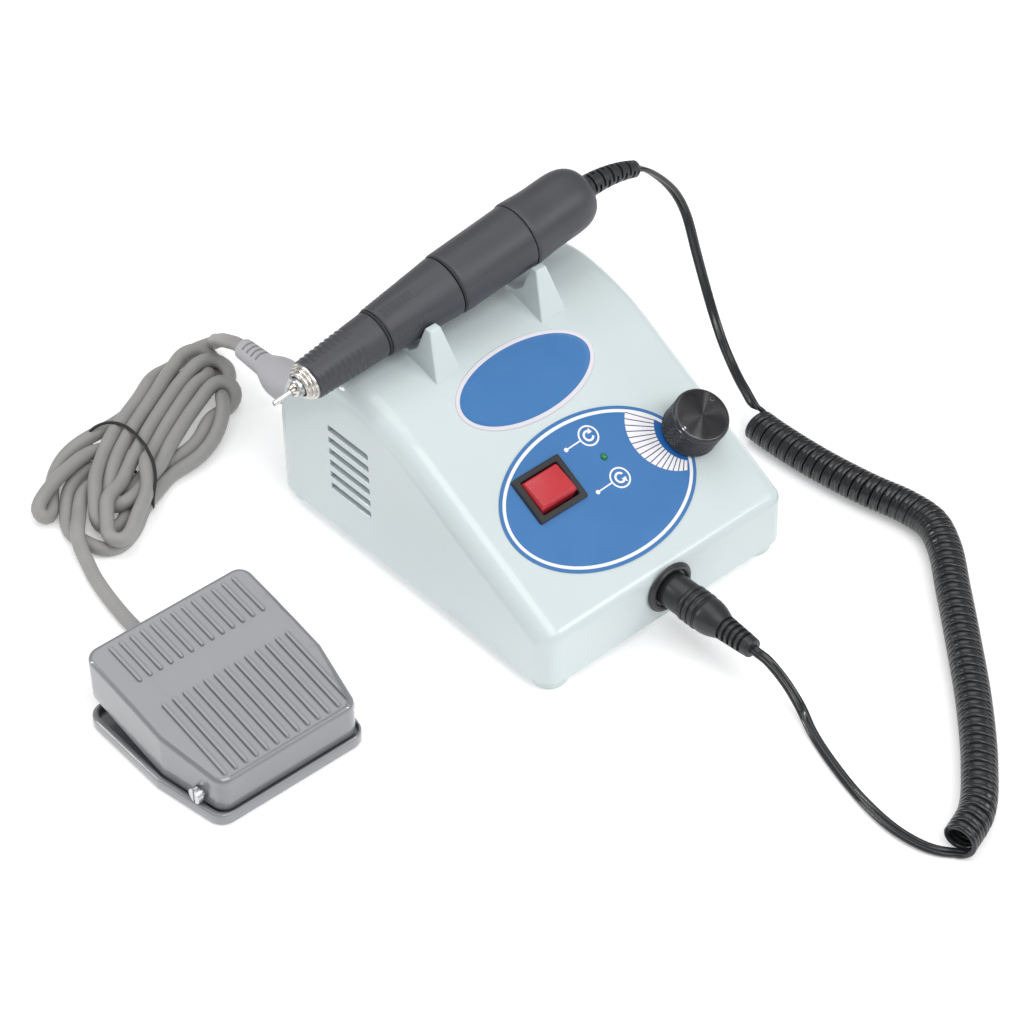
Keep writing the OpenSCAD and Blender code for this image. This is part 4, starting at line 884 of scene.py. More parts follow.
for i in range(N_BAR + 1):
    q = math.radians(134.5 + (232.5 - 134.5) * i / N_BAR)
    d = np.array([math.cos(q), math.sin(q)])
    gaps.append(bar(np.array([FX, FS]) + d * (FR - 0.5), np.array([FX, FS]) + d * 27, 0.42))
disc, fan = ellipse(FX, FS, FR, FR, 120), ellipse(GX, GS, GR, GR, 140)
rims = [ellipse(PX, PS, *E, 200) for E in (E1, E2, E3)]


def panel_colour(x, s):
    if not within(rims[0], x, s) or within(hole_sw, x, s) or within(hole_knob, x, s) or within(hole_led, x, s):
        return None
    if not within(rims[1], x, s):
        return 0
    q = math.degrees(math.atan2(s - FS, x - FX)) % 360
    if within(disc, x, s):
        return 2 if within(rims[2], x, s) else 1
    if within(fan, x, s) and 100 < q < 232.5:
        return 3 if any(within(g, x, s) for g in gaps) else 1
    if not within(rims[2], x, s):
        return 1
    for kind, *lp in white:
        if within(lp[0], x, s) and not (kind == "ring" and within(lp[1], x, s)):
            return 1
    return 0


loops = rims + [hole_sw, hole_knob, hole_led, disc, fan] + gaps + [q for w in white for q in w[1:]]
V, F, M = cdt(loops, panel_colour)
on = on_face(0, 0)
v, f, idx = sheet(V, F, M, lambda x, s: (x, s, 0.4), lambda x, s: (x, s, 0.0), 0)
piece("panel_print", v, f, ["blue_print", "white_print", "deep_blue", "ink"], "control_box", place=on, idx=idx, sharp=30,
      nodes=("control_panel",), weld=0)

# nameplate: bare blue field in a pale raised border, bent with the face
NX, NSS, NA, NB = -1.6, 75.9, 34.6, 17.6
S_T = float((profile(0)[I_FACE + 1] - FACE) @ np.array([math.cos(TH), math.sin(TH)]))


def crown(s, off):
    return off if s <= S_T else math.sqrt((TR + off) ** 2 - (s - S_T) ** 2) - TR


borders = [ellipse(NX, NSS, NA - d, NB - d, 160) for d in (0.0, 0.35, 1.75, 2.0)]
heights = (0.0, 0.45, 0.45, 0.28)
gx = [(NX + x, NSS + y) for x in np.arange(-33, 33.1, 3.0) for y in np.arange(-16.5, 16.6, 1.5) if (x / (NA - 3.2)) ** 2 + (y / (NB - 3.2)) ** 2 < 1]
V, F, M = cdt(borders, lambda x, s: None if not within(borders[0], x, s) else (0 if within(borders[3], x, s) else 1), gx)
lvl = {}
for lp, h in zip(borders, heights):
    for x, y in lp:
        lvl[(round(x, 3), round(y, 3))] = h
v = np.array([(x, s, crown(s, lvl.get((round(x, 3), round(s, 3)), 0.28))) for x, s in V])
low = np.array([(x, s, crown(s, -0.25)) for x, s in V])
n = len(V)
used = {(a, b) for t in F for a, b in zip(t, t[1:] + t[:1])}
f = list(F) + [tuple(n + i for i in reversed(t)) for t in F]
idx = list(M) + [1] * len(F)
for a, b in used:
    if (b, a) not in used:
        f.append((b, a, n + a, n + b))
        idx.append(1)
piece("nameplate_oval", np.vstack([v, low]), f, ["blue_print", "plate_border"], "control_box", place=on, idx=idx, sharp=40,
      nodes=("nameplate",), weld=0)

# ---------------------------------------------------------------- speed knob
KNOB = on_face(KX, KS, 1.2)
KN, KP = 42, 1.70


def knurl(r, z, ang):
    if not 0.7 < z < 12.3 or r < 11:
        return np.full(len(ang), r)
    u, w = ang * KN / (2 * math.pi), z / KP
    t1 = np.abs(((u + w) % 1.0) - 0.5) * 2
    t2 = np.abs(((u - w) % 1.0) - 0.5) * 2
    edge = min(1.0, (z - 0.7) / 0.5, (12.3 - z) / 0.5)
    return r - 0.62 * edge * (1 - np.minimum(t1, t2) ** 0.8)


prof = [(0, 5.4), (8.6, 5.4), (8.6, 0.25), (8.9, 0), (11.5, 0), (12.0, 0.35)]
prof += [(12.1, z) for z in np.arange(0.6, 12.5, 0.2)]
prof += [(11.72, 12.55), (11.72, 12.85), (12.05, 12.95), (12.1, 13.25), (11.9, 13.75), (11.45, 14.2), (10.9, 14.42), (10.6, 14.46), (8, 14.44), (4, 14.42), (0, 14.42)]
v, f = lathe(prof, 432, knurl)
vv = np.asarray(v)
idx = [1 if vv[list(q), 2].mean() > 14.3 and np.hypot(vv[list(q), 0], vv[list(q), 1]).max() < 11.2 else 0 for q in f]
knob = piece("knob", v, f, ["knob_side", "knob_face"], "speed_knob", place=KNOB, idx=idx, sharp=32, nodes=("speed_knob", "knob_grub_screw"))
# pointer filled with white paint, a shallow pit in the face
mark = [(-12.22, -0.55, 12.98), (-12.22, 0.55, 12.98), (-11.3, 0.55, 14.36), (-11.3, -0.55, 14.36), (-9.9, -0.45, 14.5), (-9.9, 0.45, 14.5)]
mv = np.array(mark + [(x * 0.97, y, z - 0.35) for x, y, z in mark])
mf = [(0, 1, 2, 3), (3, 2, 5, 4), (6, 9, 8, 7), (9, 10, 11, 8), (0, 6, 7, 1), (4, 5, 11, 10), (1, 7, 8, 2), (2, 8, 11, 5), (0, 3, 9, 6), (3, 4, 10, 9)]
piece("knob_pointer", mv @ rot_z(4).T, mf, ["white_print"], "speed_knob", place=KNOB, sharp=30)
v, f = ringed([(0.55, 14.30), (0.62, 14.50), (0.95, 14.52), (1.1, 14.42), (1.0, 14.3)], 28)
v2 = [(x + 8.4, y + 3.5, z) for x, y, z in join((v, f))[0]]
piece("knob_pit_rim", v2, f, ["knob_side"], "speed_knob", place=KNOB, sharp=40)

# ---------------------------------------------------------------- switch and lamp
SW = on_face(-23.5, 32.8)
loops = [level(rrect(0, 0, 19, 15.8, 0.5, 4), -10), level(rrect(0, 0, 19, 15.8, 0.5, 4), 1.5), level(rrect(0, 0, 19.7, 16.5, 0.8, 4), 1.98),
         level(rrect(0, 0, 23.8, 19.8, 0.7, 4), 2.02), level(rrect(0, 0, 24.6, 20.6, 0.8, 4), 1.7), level(rrect(0, 0, 25, 21, 0.8, 4), 1.1),
         level(rrect(0, 0, 25, 21, 0.8, 4), 0.02), level(rrect(0, 0, 22, 18, 0.5, 4), 0.02), level(rrect(0, 0, 22, 18, 0.5, 4), -18)]
v, f = stack(loops)
tabs = []
for y in (-5, 0, 5):
    c = level(rrect(0, y, 6, 0.8, 0.2, 3), -25)
    tabs.append(stack([c, c + [0, 0, 7.2]]))
v, f = join((v, f), *tabs)
piece("switch_bezel", v, f, ["switch_black"], "control_box", place=SW, sharp=28, nodes=("switch_frame",))
ROCK = Place(rot_x(SLOPE) @ rot_x(-8), on_face(-23.5, 32.8, -3).t)
loops = [level(rrect(0, 0, 18.4, 8, 0.6, 5), -3.4), level(rrect(0, 0, 18.4, 13.8, 0.6, 5), -1), level(rrect(0, 0, 18.4, 13.8, 0.6, 5), 4.9),
         level(rrect(0, 0, 18.25, 13.65, 0.6, 5), 5.15), level(rrect(0, 0, 17.0, 12.1, 0.7, 5), 6.32), level(rrect(0, 0, 16.5, 11.6, 0.7, 5), 6.42)]
v, f = stack(loops)
pv, pf = lathe([(0, -10.4), (1.2, -10.4), (1.2, 10.4), (0, 10.4)], 24)
pv = np.asarray(pv) @ AXIS_X.T
v, f = join((v, f), (pv, pf))
piece("rocker", v, f, ["red_plastic"], "switch_rocker", place=ROCK, sharp=24, nodes=("switch_rocker",))
v, f = lathe([(0, -6.5), (1.9, -6.5), (1.9, -3.2), (1.5, -3.2), (1.5, 0.3), (1.47, 0.55), (1.35, 0.85), (1.1, 1.12), (0.75, 1.33), (0.35, 1.46), (0, 1.5)], 40)
piece("lamp_lens", v, f, ["green_lens"], "control_box", place=on_face(5.7, 32.4), sharp=50, nodes=("power_led",))

# ---------------------------------------------------------------- handpiece
n0, n1, t0, t1, m0, m1, c0, c1 = -80.3, -46.0, -44.5, -9.4, -8.1, 29.4, 29.7, 66.2


def around(ang):
    """Angle round the handpiece in degrees, from +y towards +z."""
    return np.degrees(ang) - 90.0


def patch(phi, centre, half, soft):
    d = np.abs((phi - centre + 180) % 360 - 180)
    return np.clip((half + soft - d) / soft, 0, 1)


def soft01(x):
    x = np.clip(x, 0, 1)
    return x * x * (3 - 2 * x)


def nose_shape(r, z, ang):
    if r < 8.4 or z < n0 + 0.6 or z > n1 - 0.6:
        return np.full(len(ang), r)
    phi = around(ang)
    # ribs in three patches, each row bowed a little towards the tip
    out = np.full(len(ang), r)
    for c in (60, 180, 300):
        w = soft01(patch(phi, c, 34, 14))
        d = (phi - c + 180) % 360 - 180
        zz = z - n0 - 1.2 - 0.9 * (d / 40.0) ** 2
        env = soft01((zz + 0.2) / 0.6) * soft01((22.4 - zz) / 1.2)
        wave = 0.5 - 0.5 * np.cos(2 * math.pi * zz / 2.65)
        out = out + w * env * (0.42 * wave ** 1.4 - 0.24)
    return out


prof = [(7.0, n0 + 22), (7.0, n0 + 0.3), (7.3, n0), (8.0, n0), (8.45, n0 + 0.35), (8.62, n0 + 0.8)]
prof += [(8.6 + (z - n0) / (n1 - n0) * 1.55, z) for z in np.arange(n0 + 1.0, n1 - 0.5, 0.3)]
prof += [(9.98, n1 - 0.3), (9.75, n1), (8.25, n1), (8.25, n0 + 22)]
v, f = ringed(prof, 168, nose_shape)
piece("grip_nose", v, f, ["grip_plastic"], "handpiece", place=HAND, sharp=40, nodes=("nose_cone",))

ring = round_profile([(4.6, n0 + 3), (6.95, n0 + 3), (6.95, n0), (7.7, n0 - 0.02), (7.9, n0 - 0.22), (7.9, n0 - 1.1), (7.72, n0 - 1.32), (6.85, n0 - 1.34), (6.85, n0 - 1.75),
                      (7.1, n0 - 1.78), (7.2, n0 - 1.95), (7.2, n0 - 2.45), (7.05, n0 - 2.65), (5.95, n0 - 2.67), (5.95, n0 - 3.05), (6.2, n0 - 3.08), (6.3, n0 - 3.25), (6.3, n0 - 3.85),
                      (6.1, n0 - 4.1), (5.2, n0 - 4.12), (5.1, n0 - 4.38), (4.6, n0 - 4.4), (4.6, n0 + 3)], 0.07, 3)
v, f = ringed(ring[:-1], 120)
piece("nose_bezel", v, f, ["nickel"], "handpiece", place=HAND, sharp=35, nodes=("nose_ring",))


def spin_piece(name, prof, mat, nodes, n=96, shape=None, sharp=35):
    v, f = ringed(prof, n, shape) if prof[0][0] > 0 and prof[-1][0] > 0 else lathe(prof, n, shape)
    return piece(name, v, f, [mat], "spindle", place=HAND, sharp=sharp, nodes=nodes)


spin_piece("spindle_nose", round_profile([(2.2, n0 + 17), (2.2, n0 - 6.4), (3.5, n0 - 6.4), (4.0, n0 - 5.9), (4.0, -50), (2.5, -50), (2.5, 54), (0, 54)], 0.15, 3)[:-1] + [(0, 54), (0, n0 + 17)],
           "chuck_steel", ("spindle",))


def collet_shape(r, z, ang):
    if z > n0 - 6.2 or r < 1.3:
        return np.full(len(ang), r)
    phi = around(ang)
    slit = sum((np.abs((phi - c + 180) % 360 - 180) < 9).astype(float) for c in (10, 130, 250))
    return np.where(slit > 0, 1.5, r)


spin_piece("collet_jaws", [(1.18, n0 + 14), (1.18, n0 - 8.4), (1.3, n0 - 8.6), (2.1, n0 - 8.6), (2.3, n0 - 8.45), (3.05, n0 - 7.25), (3.1, n0 - 7.1), (3.1, n0 - 6.45), (2.15, n0 - 6.4), (2.15, n0 + 14)],
           "nickel", ("collet",), 180, collet_shape, 30)
spin_piece("pin", [(0, -97.6), (0.72, -97.6), (0.78, -97.35), (0.95, -97.6), (1.1, -97.5), (1.175, -97.3), (1.175, n0 - 8.7), (0.92, n0 - 8.5), (0.92, n0 - 7.7), (1.155, n0 - 7.5), (1.155, n0 + 12), (0, n0 + 12)],
           "pin_steel", ("blank_pin",), 48)


def sleeve_shape(r, z, ang):
    if r < 10.0 or z < t0 + 0.35 or z > t1 - 0.3:
        return np.full(len(ang), r)
    phi = around(ang)
    d = (phi - 45 + 30) % 60 - 30
    u = (z - t0) / (t1 - t0)
    # six flats that fade out towards the rear, with a fine edge line beside each and short ribs at the front
    width = 17 - 9 * u
    flat = soft01((width - np.abs(d)) / 5.0) * soft01((0.93 - u) / 0.25)
    line = np.exp(-((np.abs(d) - width - 0.5) / 0.9) ** 2) * soft01((0.97 - u) / 0.1)
    zz = z - t0 - 1.6
    env = soft01(zz / 0.8) * soft01((15.6 - zz) / 1.5)
    ribs = (0.5 - 0.5 * np.cos(2 * math.pi * zz / 1.95)) ** 1.3 * env * soft01((width - 2 - np.abs(d)) / 3.0)
    return r - 0.42 * flat - 0.10 * line + 0.34 * ribs


prof = [(9.55, t1), (9.55, t0), (10.45, t0), (10.8, t0 + 0.3)]
prof += [(10.9 + (z - t0 - 0.4) / (t1 - t0 - 0.9) * 2.35, z) for z in np.arange(t0 + 0.5, t1 - 0.4, 0.3)]
prof += [(13.12, t1 - 0.2), (12.8, t1)]
v, f = ringed(prof, 240, sleeve_shape)
piece("grip_twist", v, f, ["grip_plastic"], "twist_sleeve", place=HAND, sharp=40, nodes=("twist_sleeve",))
ra = ringed(round_profile([(9.52, n1 + 0.1), (10.35, n1 + 0.1), (10.35, t0 - 0.4), (9.52, t0 - 0.4), (9.52, n1 + 0.1)], 0.2, 3)[:-1], 96)
rb = ringed(round_profile([(9.52, t1 + 0.4), (13.3, t1 + 0.4), (13.3, m0 - 0.02), (9.52, m0 - 0.02), (9.52, t1 + 0.4)], 0.2, 3)[:-1], 120)
v, f = join(ra, rb)
piece("seal_rings", v, f, ["rubber"], "handpiece", place=HAND, sharp=40, nodes=("sleeve_rings",))


def motor_shape(r, z, ang):
    if r < 13.4:
        return np.full(len(ang), r)
    phi = around(ang)
    d = (phi - 45 + 30) % 60 - 30
    u = (z - m0) / (m1 - m0)
    line = np.exp(-((np.abs(d) - 9 - 5 * u) / 0.8) ** 2) * soft01((0.62 - u) / 0.3) * soft01((u - 0.02) / 0.05)
    return r - 0.09 * line


prof = [(12.05, m1), (12.05, m0 + 0.95), (9.55, m0 + 0.95), (9.55, m0), (13.25, m0), (13.6, m0 + 0.35)]
prof += [(13.7 + (z - m0 - 0.6) / (m1 - m0 - 1.0) * 0.4, z) for z in np.arange(m0 + 0.6, m1 - 0.3, 1.2)]
prof += [(14.1, m1 - 0.35), (13.85, m1)]
v, f = ringed(prof, 240, motor_shape)
piece("grip_motor", v, f, ["grip_plastic"], "handpiece", place=HAND, sharp=40, nodes=("motor_sleeve",))

key = np.array([[14.25, c0], [14.55, c0 + 0.35], [14.66, c0 + 0.9], [14.4, c0 + 5], [14.05, c0 + 10], [13.9, c0 + 15], [13.95, c0 + 20], [13.9, c0 + 25], [13.5, c0 + 29],
                [12.6, c0 + 32], [11.2, c0 + 34.4], [9.4, c0 + 36], [8, c1]])
fine = smooth_path(np.c_[key, np.zeros(len(key))], 0.7)[:, :2]
prof = [(12.05, 53.5), (12.05, c0)] + [tuple(q) for q in fine] + [(7.2, c1 + 0.1), (6.3, c1), (6.15, c1 - 0.2), (6.1, c1 - 3), (7.6, c1 - 3), (7.6, c1 - 6), (11.4, 54.5)]
v, f = ringed(prof, 144)
piece("grip_rear", v, f, ["grip_plastic"], "handpiece", place=HAND, sharp=40, nodes=("rear_cap",))


def slots(zz, ang, pitch, width, first, turn, half=52, step=90):
    """1 inside a cut: cuts lie on two opposite sides, each row turned by step against the last."""
    k = math.floor(zz / pitch)
    if zz < 0 or zz - k * pitch > width:
        return np.zeros(len(ang))
    d = (np.degrees(ang) - turn - step * ((k + first) % 2) + 90) % 180 - 90
    return (np.abs(d) < half).astype(float)


def relief_profile(z0, z1, r0, r1, pitch, width):
    out = []
    k = 0
    while z0 + k * pitch + width < z1 + 1e-6:
        a, b = z0 + k * pitch, z0 + k * pitch + width
        e = z0 + (k + 1) * pitch
        for z in (a - 0.12, a, a + 0.06, b - 0.06, b, b + 0.12, (b + e) / 2):
            u = (z - z0) / (z1 - z0)
            out.append((r0 + (r1 - r0) * u, z))
        k += 1
    return out


# bend relief of the handpiece: slotted sleeve on a gentle downward curve
bend = [np.array([c1 - 3.2, 0, 0]), np.array([c1 + 1.0, 0, 0])]
dirs = 0.0
for i in range(6):
    dirs += 4.6
    for w in (0.5, 0.5):
        bend.append(bend[-1] + 4.9 * w * np.array([math.cos(math.radians(dirs)), 0, -math.sin(math.radians(dirs))]))
bend = smooth_path(bend, 0.25)
bs = np.r_[0, np.cumsum(np.linalg.norm(np.diff(bend, axis=0), axis=1))]
BL = bs[-1]
NB_ = 72
ba = np.arange(NB_) * 2 * math.pi / NB_
rows = [(0.0, 6.0), (4.6, 6.0), (5.0, 5.7), (5.3, 5.2)]
stations = [5.4] + [z for q in range(11) for z in (6.4 + 2.5 * q - 0.1, 6.4 + 2.5 * q, 6.4 + 2.5 * q + 0.05, 6.4 + 2.5 * q + 1.0, 6.4 + 2.5 * q + 1.05, 6.4 + 2.5 * q + 1.15, 6.4 + 2.5 * q + 1.8)]
stations = [z for z in stations if z < BL - 1.0] + [BL - 0.8, BL - 0.3, BL]
ringsv = []
for z, r in rows + [(z, None) for z in stations]:
    cpt = np.array([np.interp(z, bs, bend[:, i]) for i in range(3)])
    h = 0.3
    tg = np.array([np.interp(min(z + h, BL), bs, bend[:, i]) - np.interp(max(z - h, 0), bs, bend[:, i]) for i in range(3)])
    tg /= np.linalg.norm(tg)
    if r is None:
        u = (z - 5.4) / (BL - 5.4)
        rr = np.full(NB_, 5.05 - 1.45 * u)
        if z > BL - 0.4:
            rr -= 0.35
        if z > BL - 0.05:
            rr -= 0.5
        k = (z - 6.4) / 2.5
        if z < BL - 1.5:
            rr = rr - slots(z - 6.4 + 1e-6, ba, 2.5, 1.051, 0, 129 + 0, 56) * (1.05 - 0.3 * u)
    else:
        rr = np.full(NB_, r)
    yv = np.array([0, 1.0, 0])
    up = np.cross(tg, yv)
    up = up if up[2] > 0 else -up
    # ba runs from +y towards +z of the handpiece
    ringsv.append(cpt + rr[:, None] * (np.cos(ba)[:, None] * yv + np.sin(ba)[:, None] * up))
v, f = stack(ringsv)
collar = lathe([(0, c1 - 5.6), (7.4, c1 - 5.6), (7.4, c1 - 3.1), (0, c1 - 3.1)], 48)
cv = np.asarray(collar[0]) @ AXIS_X.T
v, f = join((v, f), (cv, collar[1]))
piece("bend_relief", v, f, ["black_plastic"], "handpiece", place=Place(rot_y(-6.9), HAND.t), sharp=40, nodes=("cable_sleeve",))

# ---------------------------------------------------------------- front socket and plug
prof = round_profile([(5.5, -14), (6.6, -14), (6.6, -4.2), (7.3, -4.2), (7.3, 0.5), (11.1, 0.5), (11.4, 0.75), (11.4, 1.35), (11.1, 1.65), (10.7, 1.7), (10.6, 2.0), (10.2, 2.5), (9.3, 2.6), (8.6, 1.9), (8.4, 1.2), (5.5, 1.2), (5.5, -14)], 0.16, 3)[:-1]
v, f = ringed(prof, 120)
piece("socket_flange", v, f, ["black_plastic"], "control_box", place=FRONT, sharp=40, nodes=("handpiece_socket",))


def plug_shape(z0, pitch, width, depth, turn, first, lim, half=50, step=90):
    def go(r, z, ang):
        if z < z0 - 0.001 or z > lim or r < 2:
            return np.full(len(ang), r)
        return r - depth * slots(z - z0 + 1e-6, ang, pitch, width + 1e-3, first, turn, half, step)
    return go


prof = [(0, -10), (5.4, -10), (5.4, 1.3), (7.1, 1.5), (7.35, 1.9), (7.4, 2.4), (7.5, 12.0), (7.35, 12.4), (7.15, 12.55)]
for i in range(3):
    b = 12.7 + 3 * i
    prof += [(7.2, b), (7.75, b + 0.15), (7.92, b + 0.5), (7.92, b + 1.5), (7.75, b + 1.9), (7.2, b + 2.1), (7.1, b + 2.5)]
prof += [(7.5, 21.9), (7.66, 22.3), (7.62, 23.5), (7.4, 25.2), (6.95, 27.2), (6.2, 29.4), (5.55, 31.0), (5.2, 31.9)]
prof += [(r, z) for r, z in relief_profile(32.4, 46.4, 5.25, 4.3, 2.7, 1.15)]
prof += [(4.2, 46.6), (4.15, 47.4), (3.9, 47.85), (3.4, 48), (0, 48)]
v, f = lathe(prof, 96, plug_shape(32.4, 2.7, 1.15, 1.15, 125, 0, 46.4, 78, 0))
front_plug = piece("front_plug", v, f, ["black_plastic"], "control_box", place=FRONT, sharp=38, nodes=("handpiece_plug",))

# ---------------------------------------------------------------- rear plug of the pedal cord
prof = [(0, -14), (3.2, -14), (3.2, 2.3), (7.9, 2.3), (8.5, 2.6), (8.75, 3.2), (8.8, 4.2), (8.8, 13.5), (8.68, 15.5), (8.2, 18), (7.4, 20.3), (6.5, 22.4), (5.75, 24.2), (5.3, 25.6), (5.2, 26.3)]
prof += [(r, z) for r, z in relief_profile(27.2, 39.2, 5.15, 4.7, 3.0, 1.0)]
prof += [(4.68, 39.6), (4.6, 40.3), (4.25, 40.85), (3.8, 41), (0, 41)]
v, f = lathe(prof, 96, plug_shape(27.2, 3.0, 1.0, 0.9, 95, 0, 39.2, 50, 0))
rear_plug = piece("rear_plug", v, f, ["grey_plug"], "control_box", place=REAR_PLUG, sharp=38, nodes=("pedal_plug",))

# ---------------------------------------------------------------- foot pedal
PK, PM = 8, 12
REAR_X = (26, 20, 14, 10.05, 9.95, 0, -9.95, -10.05, -14, -20, -26)


def plan(d, q, r):
    """Rounded pedal outline set in by d, its rear edge moved by q; corner arcs and straights keep the same count."""
    w, l = 41 - d, 41 - d
    c = rpoly([[-w + 6, -l], [w - 6, -l], [w, -8], [w, l + q], [-w, l + q], [-w, -8]], r, PK)
    out = []
    for i in range(6):
        arc = c[i * (PK + 1):(i + 1) * (PK + 1)]
        nxt = c[((i + 1) % 6) * (PK + 1)]
        if i == 3:
            out += list(arc) + [np.array([x, arc[-1][1]]) for x in REAR_X]
        else:
            out += list(arc) + [arc[-1] + (nxt - arc[-1]) * j / PM for j in range(1, PM)]
    return np.array(out)


def tread(y):
    """Height of the cover's top, with an eased bend between its two slopes."""
    a = 20.8 + (y + 38.2) * 9.5 / 52.2
    b = 30.3 + (y - 14) * 3.7 / 27.3
    return np.minimum(a, b) - 0.22 * np.exp(-((y - 14) / 4.0) ** 2)


def hem(lp):
    """Lower edge of the cover: rises to the rear, with a cut-out over the cord."""
    x, y = lp[:, 0], lp[:, 1]
    z = np.where(y < -20, 4.8, np.where(y < -4, 4.8 + (y + 20) * 0.6 / 16, 5.4 + (y + 4) * 9.0 / 45.5))
    return np.where((np.abs(x) < 10) & (y > 30), 20.5, z)


def lift(loop, z):
    return np.c_[loop, z]


R_TOP = 2.2
loops = []
inner = plan(2.3 + 2.2, 2.8, 3.8)
loops.append(lift(inner, tread(inner[:, 1]) - 2.4))
loops.append(lift(inner, hem(inner)))
low = plan(2.3 + 0.5, 2.8, 5.5)
loops.append(lift(low, hem(low)))
low = plan(2.3, 2.8, 6.0)
loops.append(lift(low, hem(low) + 0.5))
for w in (0.35, 0.7):
    mid = plan(2.3, 2.8, 6.0)
    loops.append(lift(mid, hem(mid) * (1 - w) + (tread(mid[:, 1]) - R_TOP) * w))
for q in np.radians([0, 15, 30, 45, 60, 75, 90]):
    d = R_TOP * (1 - math.cos(q))
    lp = plan(2.3 + d, 2.8, 6.0 - d)
    loops.append(lift(lp, tread(lp[:, 1]) - R_TOP + R_TOP * math.sin(q)))
v, f = stack(loops, False, False)
crest = plan(2.3 + R_TOP, 2.8, 6.0 - R_TOP)


def stadium(x, y0, y1, w, k=8):
    t = np.radians(np.linspace(0, 180, k + 1))
    a = [(x + w / 2 * math.cos(q), y1 - w / 2 + w / 2 * math.sin(q)) for q in t]
    b = [(x - w / 2 * math.cos(q), y0 + w / 2 - w / 2 * math.sin(q)) for q in t]
    n = int((y1 - y0) / 4)
    left = [(x - w / 2, y1 - w / 2 + (y0 - y1 + w) * i / n) for i in range(1, n)]
    right = [(x + w / 2, y0 + w / 2 + (y1 - y0 - w) * i / n) for i in range(1, n)]
    return np.array(a + left + b + right)


tops, hts = [crest], [0.0]
for i in range(-6, 7):
    for y0, y1, xo, h in ((-36.2, 3.6, 1.3, 1.2), (16.8, 37.4, 1.0, 1.0)):
        x = 4.92 * i + xo
        for w, q in ((2.0, 0.0), (1.75, 0.72 * h), (1.4, 0.95 * h), (0.8, h)):
            tops.append(stadium(x, y0 + (2.0 - w) / 2, y1 - (2.0 - w) / 2, w))
            hts.append(q)
label = [rrect(0.8, 10.3, 51.5 + w, 10.6 + w, 1.2, 4) for w in (0.0, -0.9)]
# the smooth band between the rows is sunk by a hair
for lp, h in zip(label, (0.0, -0.14)):
    n = len(lp)
    dense = []
    for i in range(n):
        a, b = lp[i], lp[(i + 1) % n]
        m = max(1, int(np.linalg.norm(b - a) / 2.5))
        dense += [a + (b - a) * j / m for j in range(m)]
    tops.append(np.array(dense))
    hts.append(h)
lvl = {}
for lp, h in zip(tops, hts):
    for x, y in lp:
        lvl[(round(float(x), 3), round(float(y), 3))] = h
extra = [(x, y) for y in (11, 12.5, 14, 15.5) for x in list(np.arange(-36, 37, 4.0)) if not -26 < x < 27.5]
extra += [(x, y) for y in (8.0, 10.0, 12.0, 14.0) for x in np.arange(-23, 25, 4.0)]
sunk = tops[-1]
V, F, M = cdt(tops, lambda x, y: 0 if within(crest, x, y) else None, extra)
zz = np.array([tread(y) + lvl.get((round(float(x), 3), round(float(y), 3)), -0.14 if within(sunk, x, y) else 0.0) for x, y in V])
V2, F2, M2 = cdt([inner], lambda x, y: 0 if within(inner, x, y) else None, [(x, y) for y in (10, 14, 18) for x in np.arange(-34, 35, 6.0)])
under = np.c_[V2, np.array([tread(y) - 2.4 for y in V2[:, 1]])]
presser = lathe([(0, 17.4), (3, 17.4), (3, 28), (0, 28)], 32)
cup = ringed([(6.3, 20), (7.6, 20), (7.6, 30), (6.3, 30)], 40)
v, f = join((v, f), (np.c_[V, zz], F), (under, F2), ([(x, y + 7.2, z) for x, y, z in presser[0]], presser[1]), ([(x, y + 22, z) for x, y, z in cup[0]], cup[1]))
cover = piece("tread_cover", v, f, ["pedal_grey"], "pedal_cover", place=PEDAL, sharp=46, nodes=("pedal_cover",), weld=2e-6)
cover.modifiers.new("normals", "WEIGHTED_NORMAL").keep_sharp = True

loops = []
for d, z, r, off in ((1.7, 2.4, 5.4, 0), (1.7, 5.0, 5.4, 0), (1.2, 5.5, 5.9, 0.3), (0.5, 5.6, 6.5, 0.6), (0.12, 5.3, 6.9, 0.75), (0, 4.8, 7.0, 0.8),
                     (0, 1.0, 7.0, 0.8), (0.2, 0.4, 6.8, 0.8), (0.8, 0.0, 6.2, 0.8)):
    loops.append(level(plan(d, -1.4, r) - [off, 0], z))
v, f = stack(loops)
lugs = []
for s in (-1, 1):
    lp = rrect(s * 29.5, -27.5, 4, 8, 0.5, 3)
    lugs.append(stack([level(lp, 2.0), level(lp, 12.6), level(rrect(s * 29.5, -27.5, 3.2, 7, 0.5, 3), 13.2)]))
lp = rrect(0, 38.1, 16, 3, 0.5, 3)
lugs.append(stack([level(lp, 2.0), level(lp, 12.6)]))
seat = lathe([(0, 2), (3.4, 2), (3.4, 4.7), (3.1, 5), (0, 5)], 32)
lugs.append(([(x, y + 22, z) for x, y, z in seat[0]], seat[1]))
v, f = join((v, f), *lugs)
piece("pedal_tray", v, f, ["pedal_grey"], "control_box", place=PEDAL, sharp=46, nodes=("pedal_base",))

# return spring, squeezed between the tray and the cover
SPRING_TOP = 25.7
q = np.radians(np.arange(0, 24 * 6 + 1) * 15.0)
wire = np.c_[4.9 * np.cos(q), 22 + 4.9 * np.sin(q), np.linspace(3.3, SPRING_TOP, len(q))]
v, f = tube(wire, [(0.6 * math.cos(k * math.pi / 5), 0.6 * math.sin(k * math.pi / 5)) for k in range(10)], np.c_[np.cos(q), np.sin(q), 0 * q])
spring = piece("return_spring", v, f, ["steel"], "control_box", place=PEDAL, sharp=60, nodes=("pedal_spring",), ride=False)
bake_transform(spring)

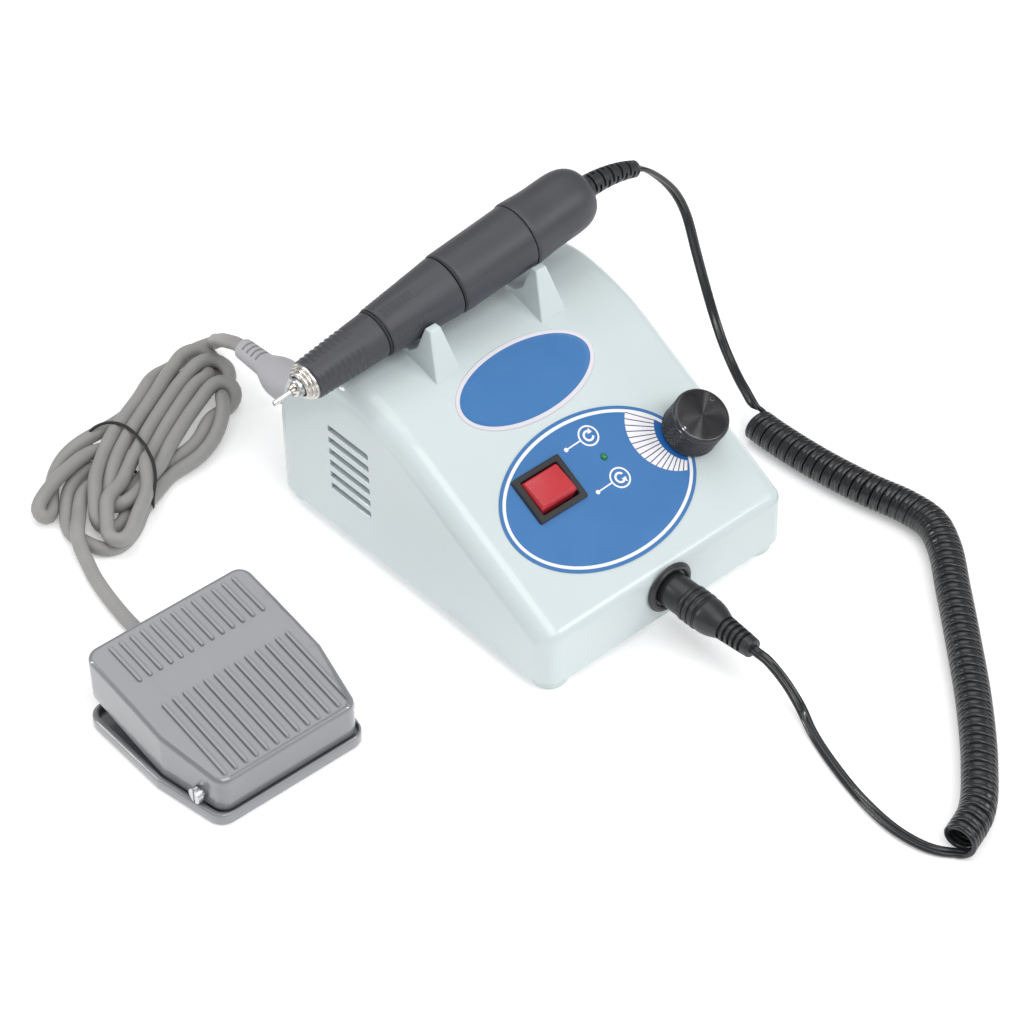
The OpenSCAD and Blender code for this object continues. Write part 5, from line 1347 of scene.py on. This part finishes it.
# ---------------------------------------------------------------- carried-over nodes
for sub in frame["record"]["subparts"]:
    o = NODES[sub["node"]]
    o.data.materials.clear()
    o.data.materials.append(MAT[{"knob_black": "knob_side"}.get(sub["material_slot"], sub["material_slot"])])

# ---------------------------------------------------------------- floor and light
fm = bpy.data.materials.new("floor")
fm.use_nodes = True
fb = fm.node_tree.nodes["Principled BSDF"]
fb.inputs["Base Color"].default_value = (0.93, 0.93, 0.935, 1)
fb.inputs["Roughness"].default_value = 0.7
fb.inputs["Specular IOR Level"].default_value = 0.2
fb.inputs["Emission Color"].default_value = (1, 1, 1, 1)
fb.inputs["Emission Strength"].default_value = 0.26
me = bpy.data.meshes.new("floor")
me.from_pydata([(-6, -6, 0), (6, -6, 0), (6, 6, 0), (-6, 6, 0)], [], [(0, 1, 2, 3)])
me.materials.append(fm)
floor = bpy.data.objects.new("floor", me)
floor.location.z = -0.0002
bpy.context.scene.collection.objects.link(floor)

world = bpy.data.worlds.new("studio")
bpy.context.scene.world = world
world.use_nodes = True
bg = world.node_tree.nodes["Background"]
bg.inputs["Color"].default_value = (1.0, 1.0, 1.0, 1)
bg.inputs["Strength"].default_value = 0.36


def softbox(name, at, look, size, power, colour=(1, 1, 1)):
    d = bpy.data.lights.new(name, "AREA")
    d.shape = "RECTANGLE"
    d.size, d.size_y = size
    d.energy = power
    d.color = colour
    o = bpy.data.objects.new(name, d)
    bpy.context.scene.collection.objects.link(o)
    o.location = at
    o.rotation_euler = (Vector(look) - Vector(at)).to_track_quat("-Z", "Y").to_euler()
    return o


softbox("key", (-0.15, -1.0, 1.6), (0.0, 0, 0.03), (1.2, 1.2), 15.2)
softbox("fill", (0.9, -1.4, 1.1), (0.02, 0, 0.03), (1.4, 1.0), 4.2)
softbox("spark", (0.93, -1.34, 1.12), (-0.02, 0, 0.03), (0.30, 0.60), 4.0)
softbox("top", (0.1, 0.5, 1.9), (0.0, 0, 0.03), (1.6, 1.6), 12.5)
softbox("edge", (-1.0, 0.82, 0.72), (-0.02, 0, 0.05), (0.10, 0.9), 5)
bpy.context.scene.view_settings.view_transform = "Standard"
bpy.context.scene.view_settings.look = "None"
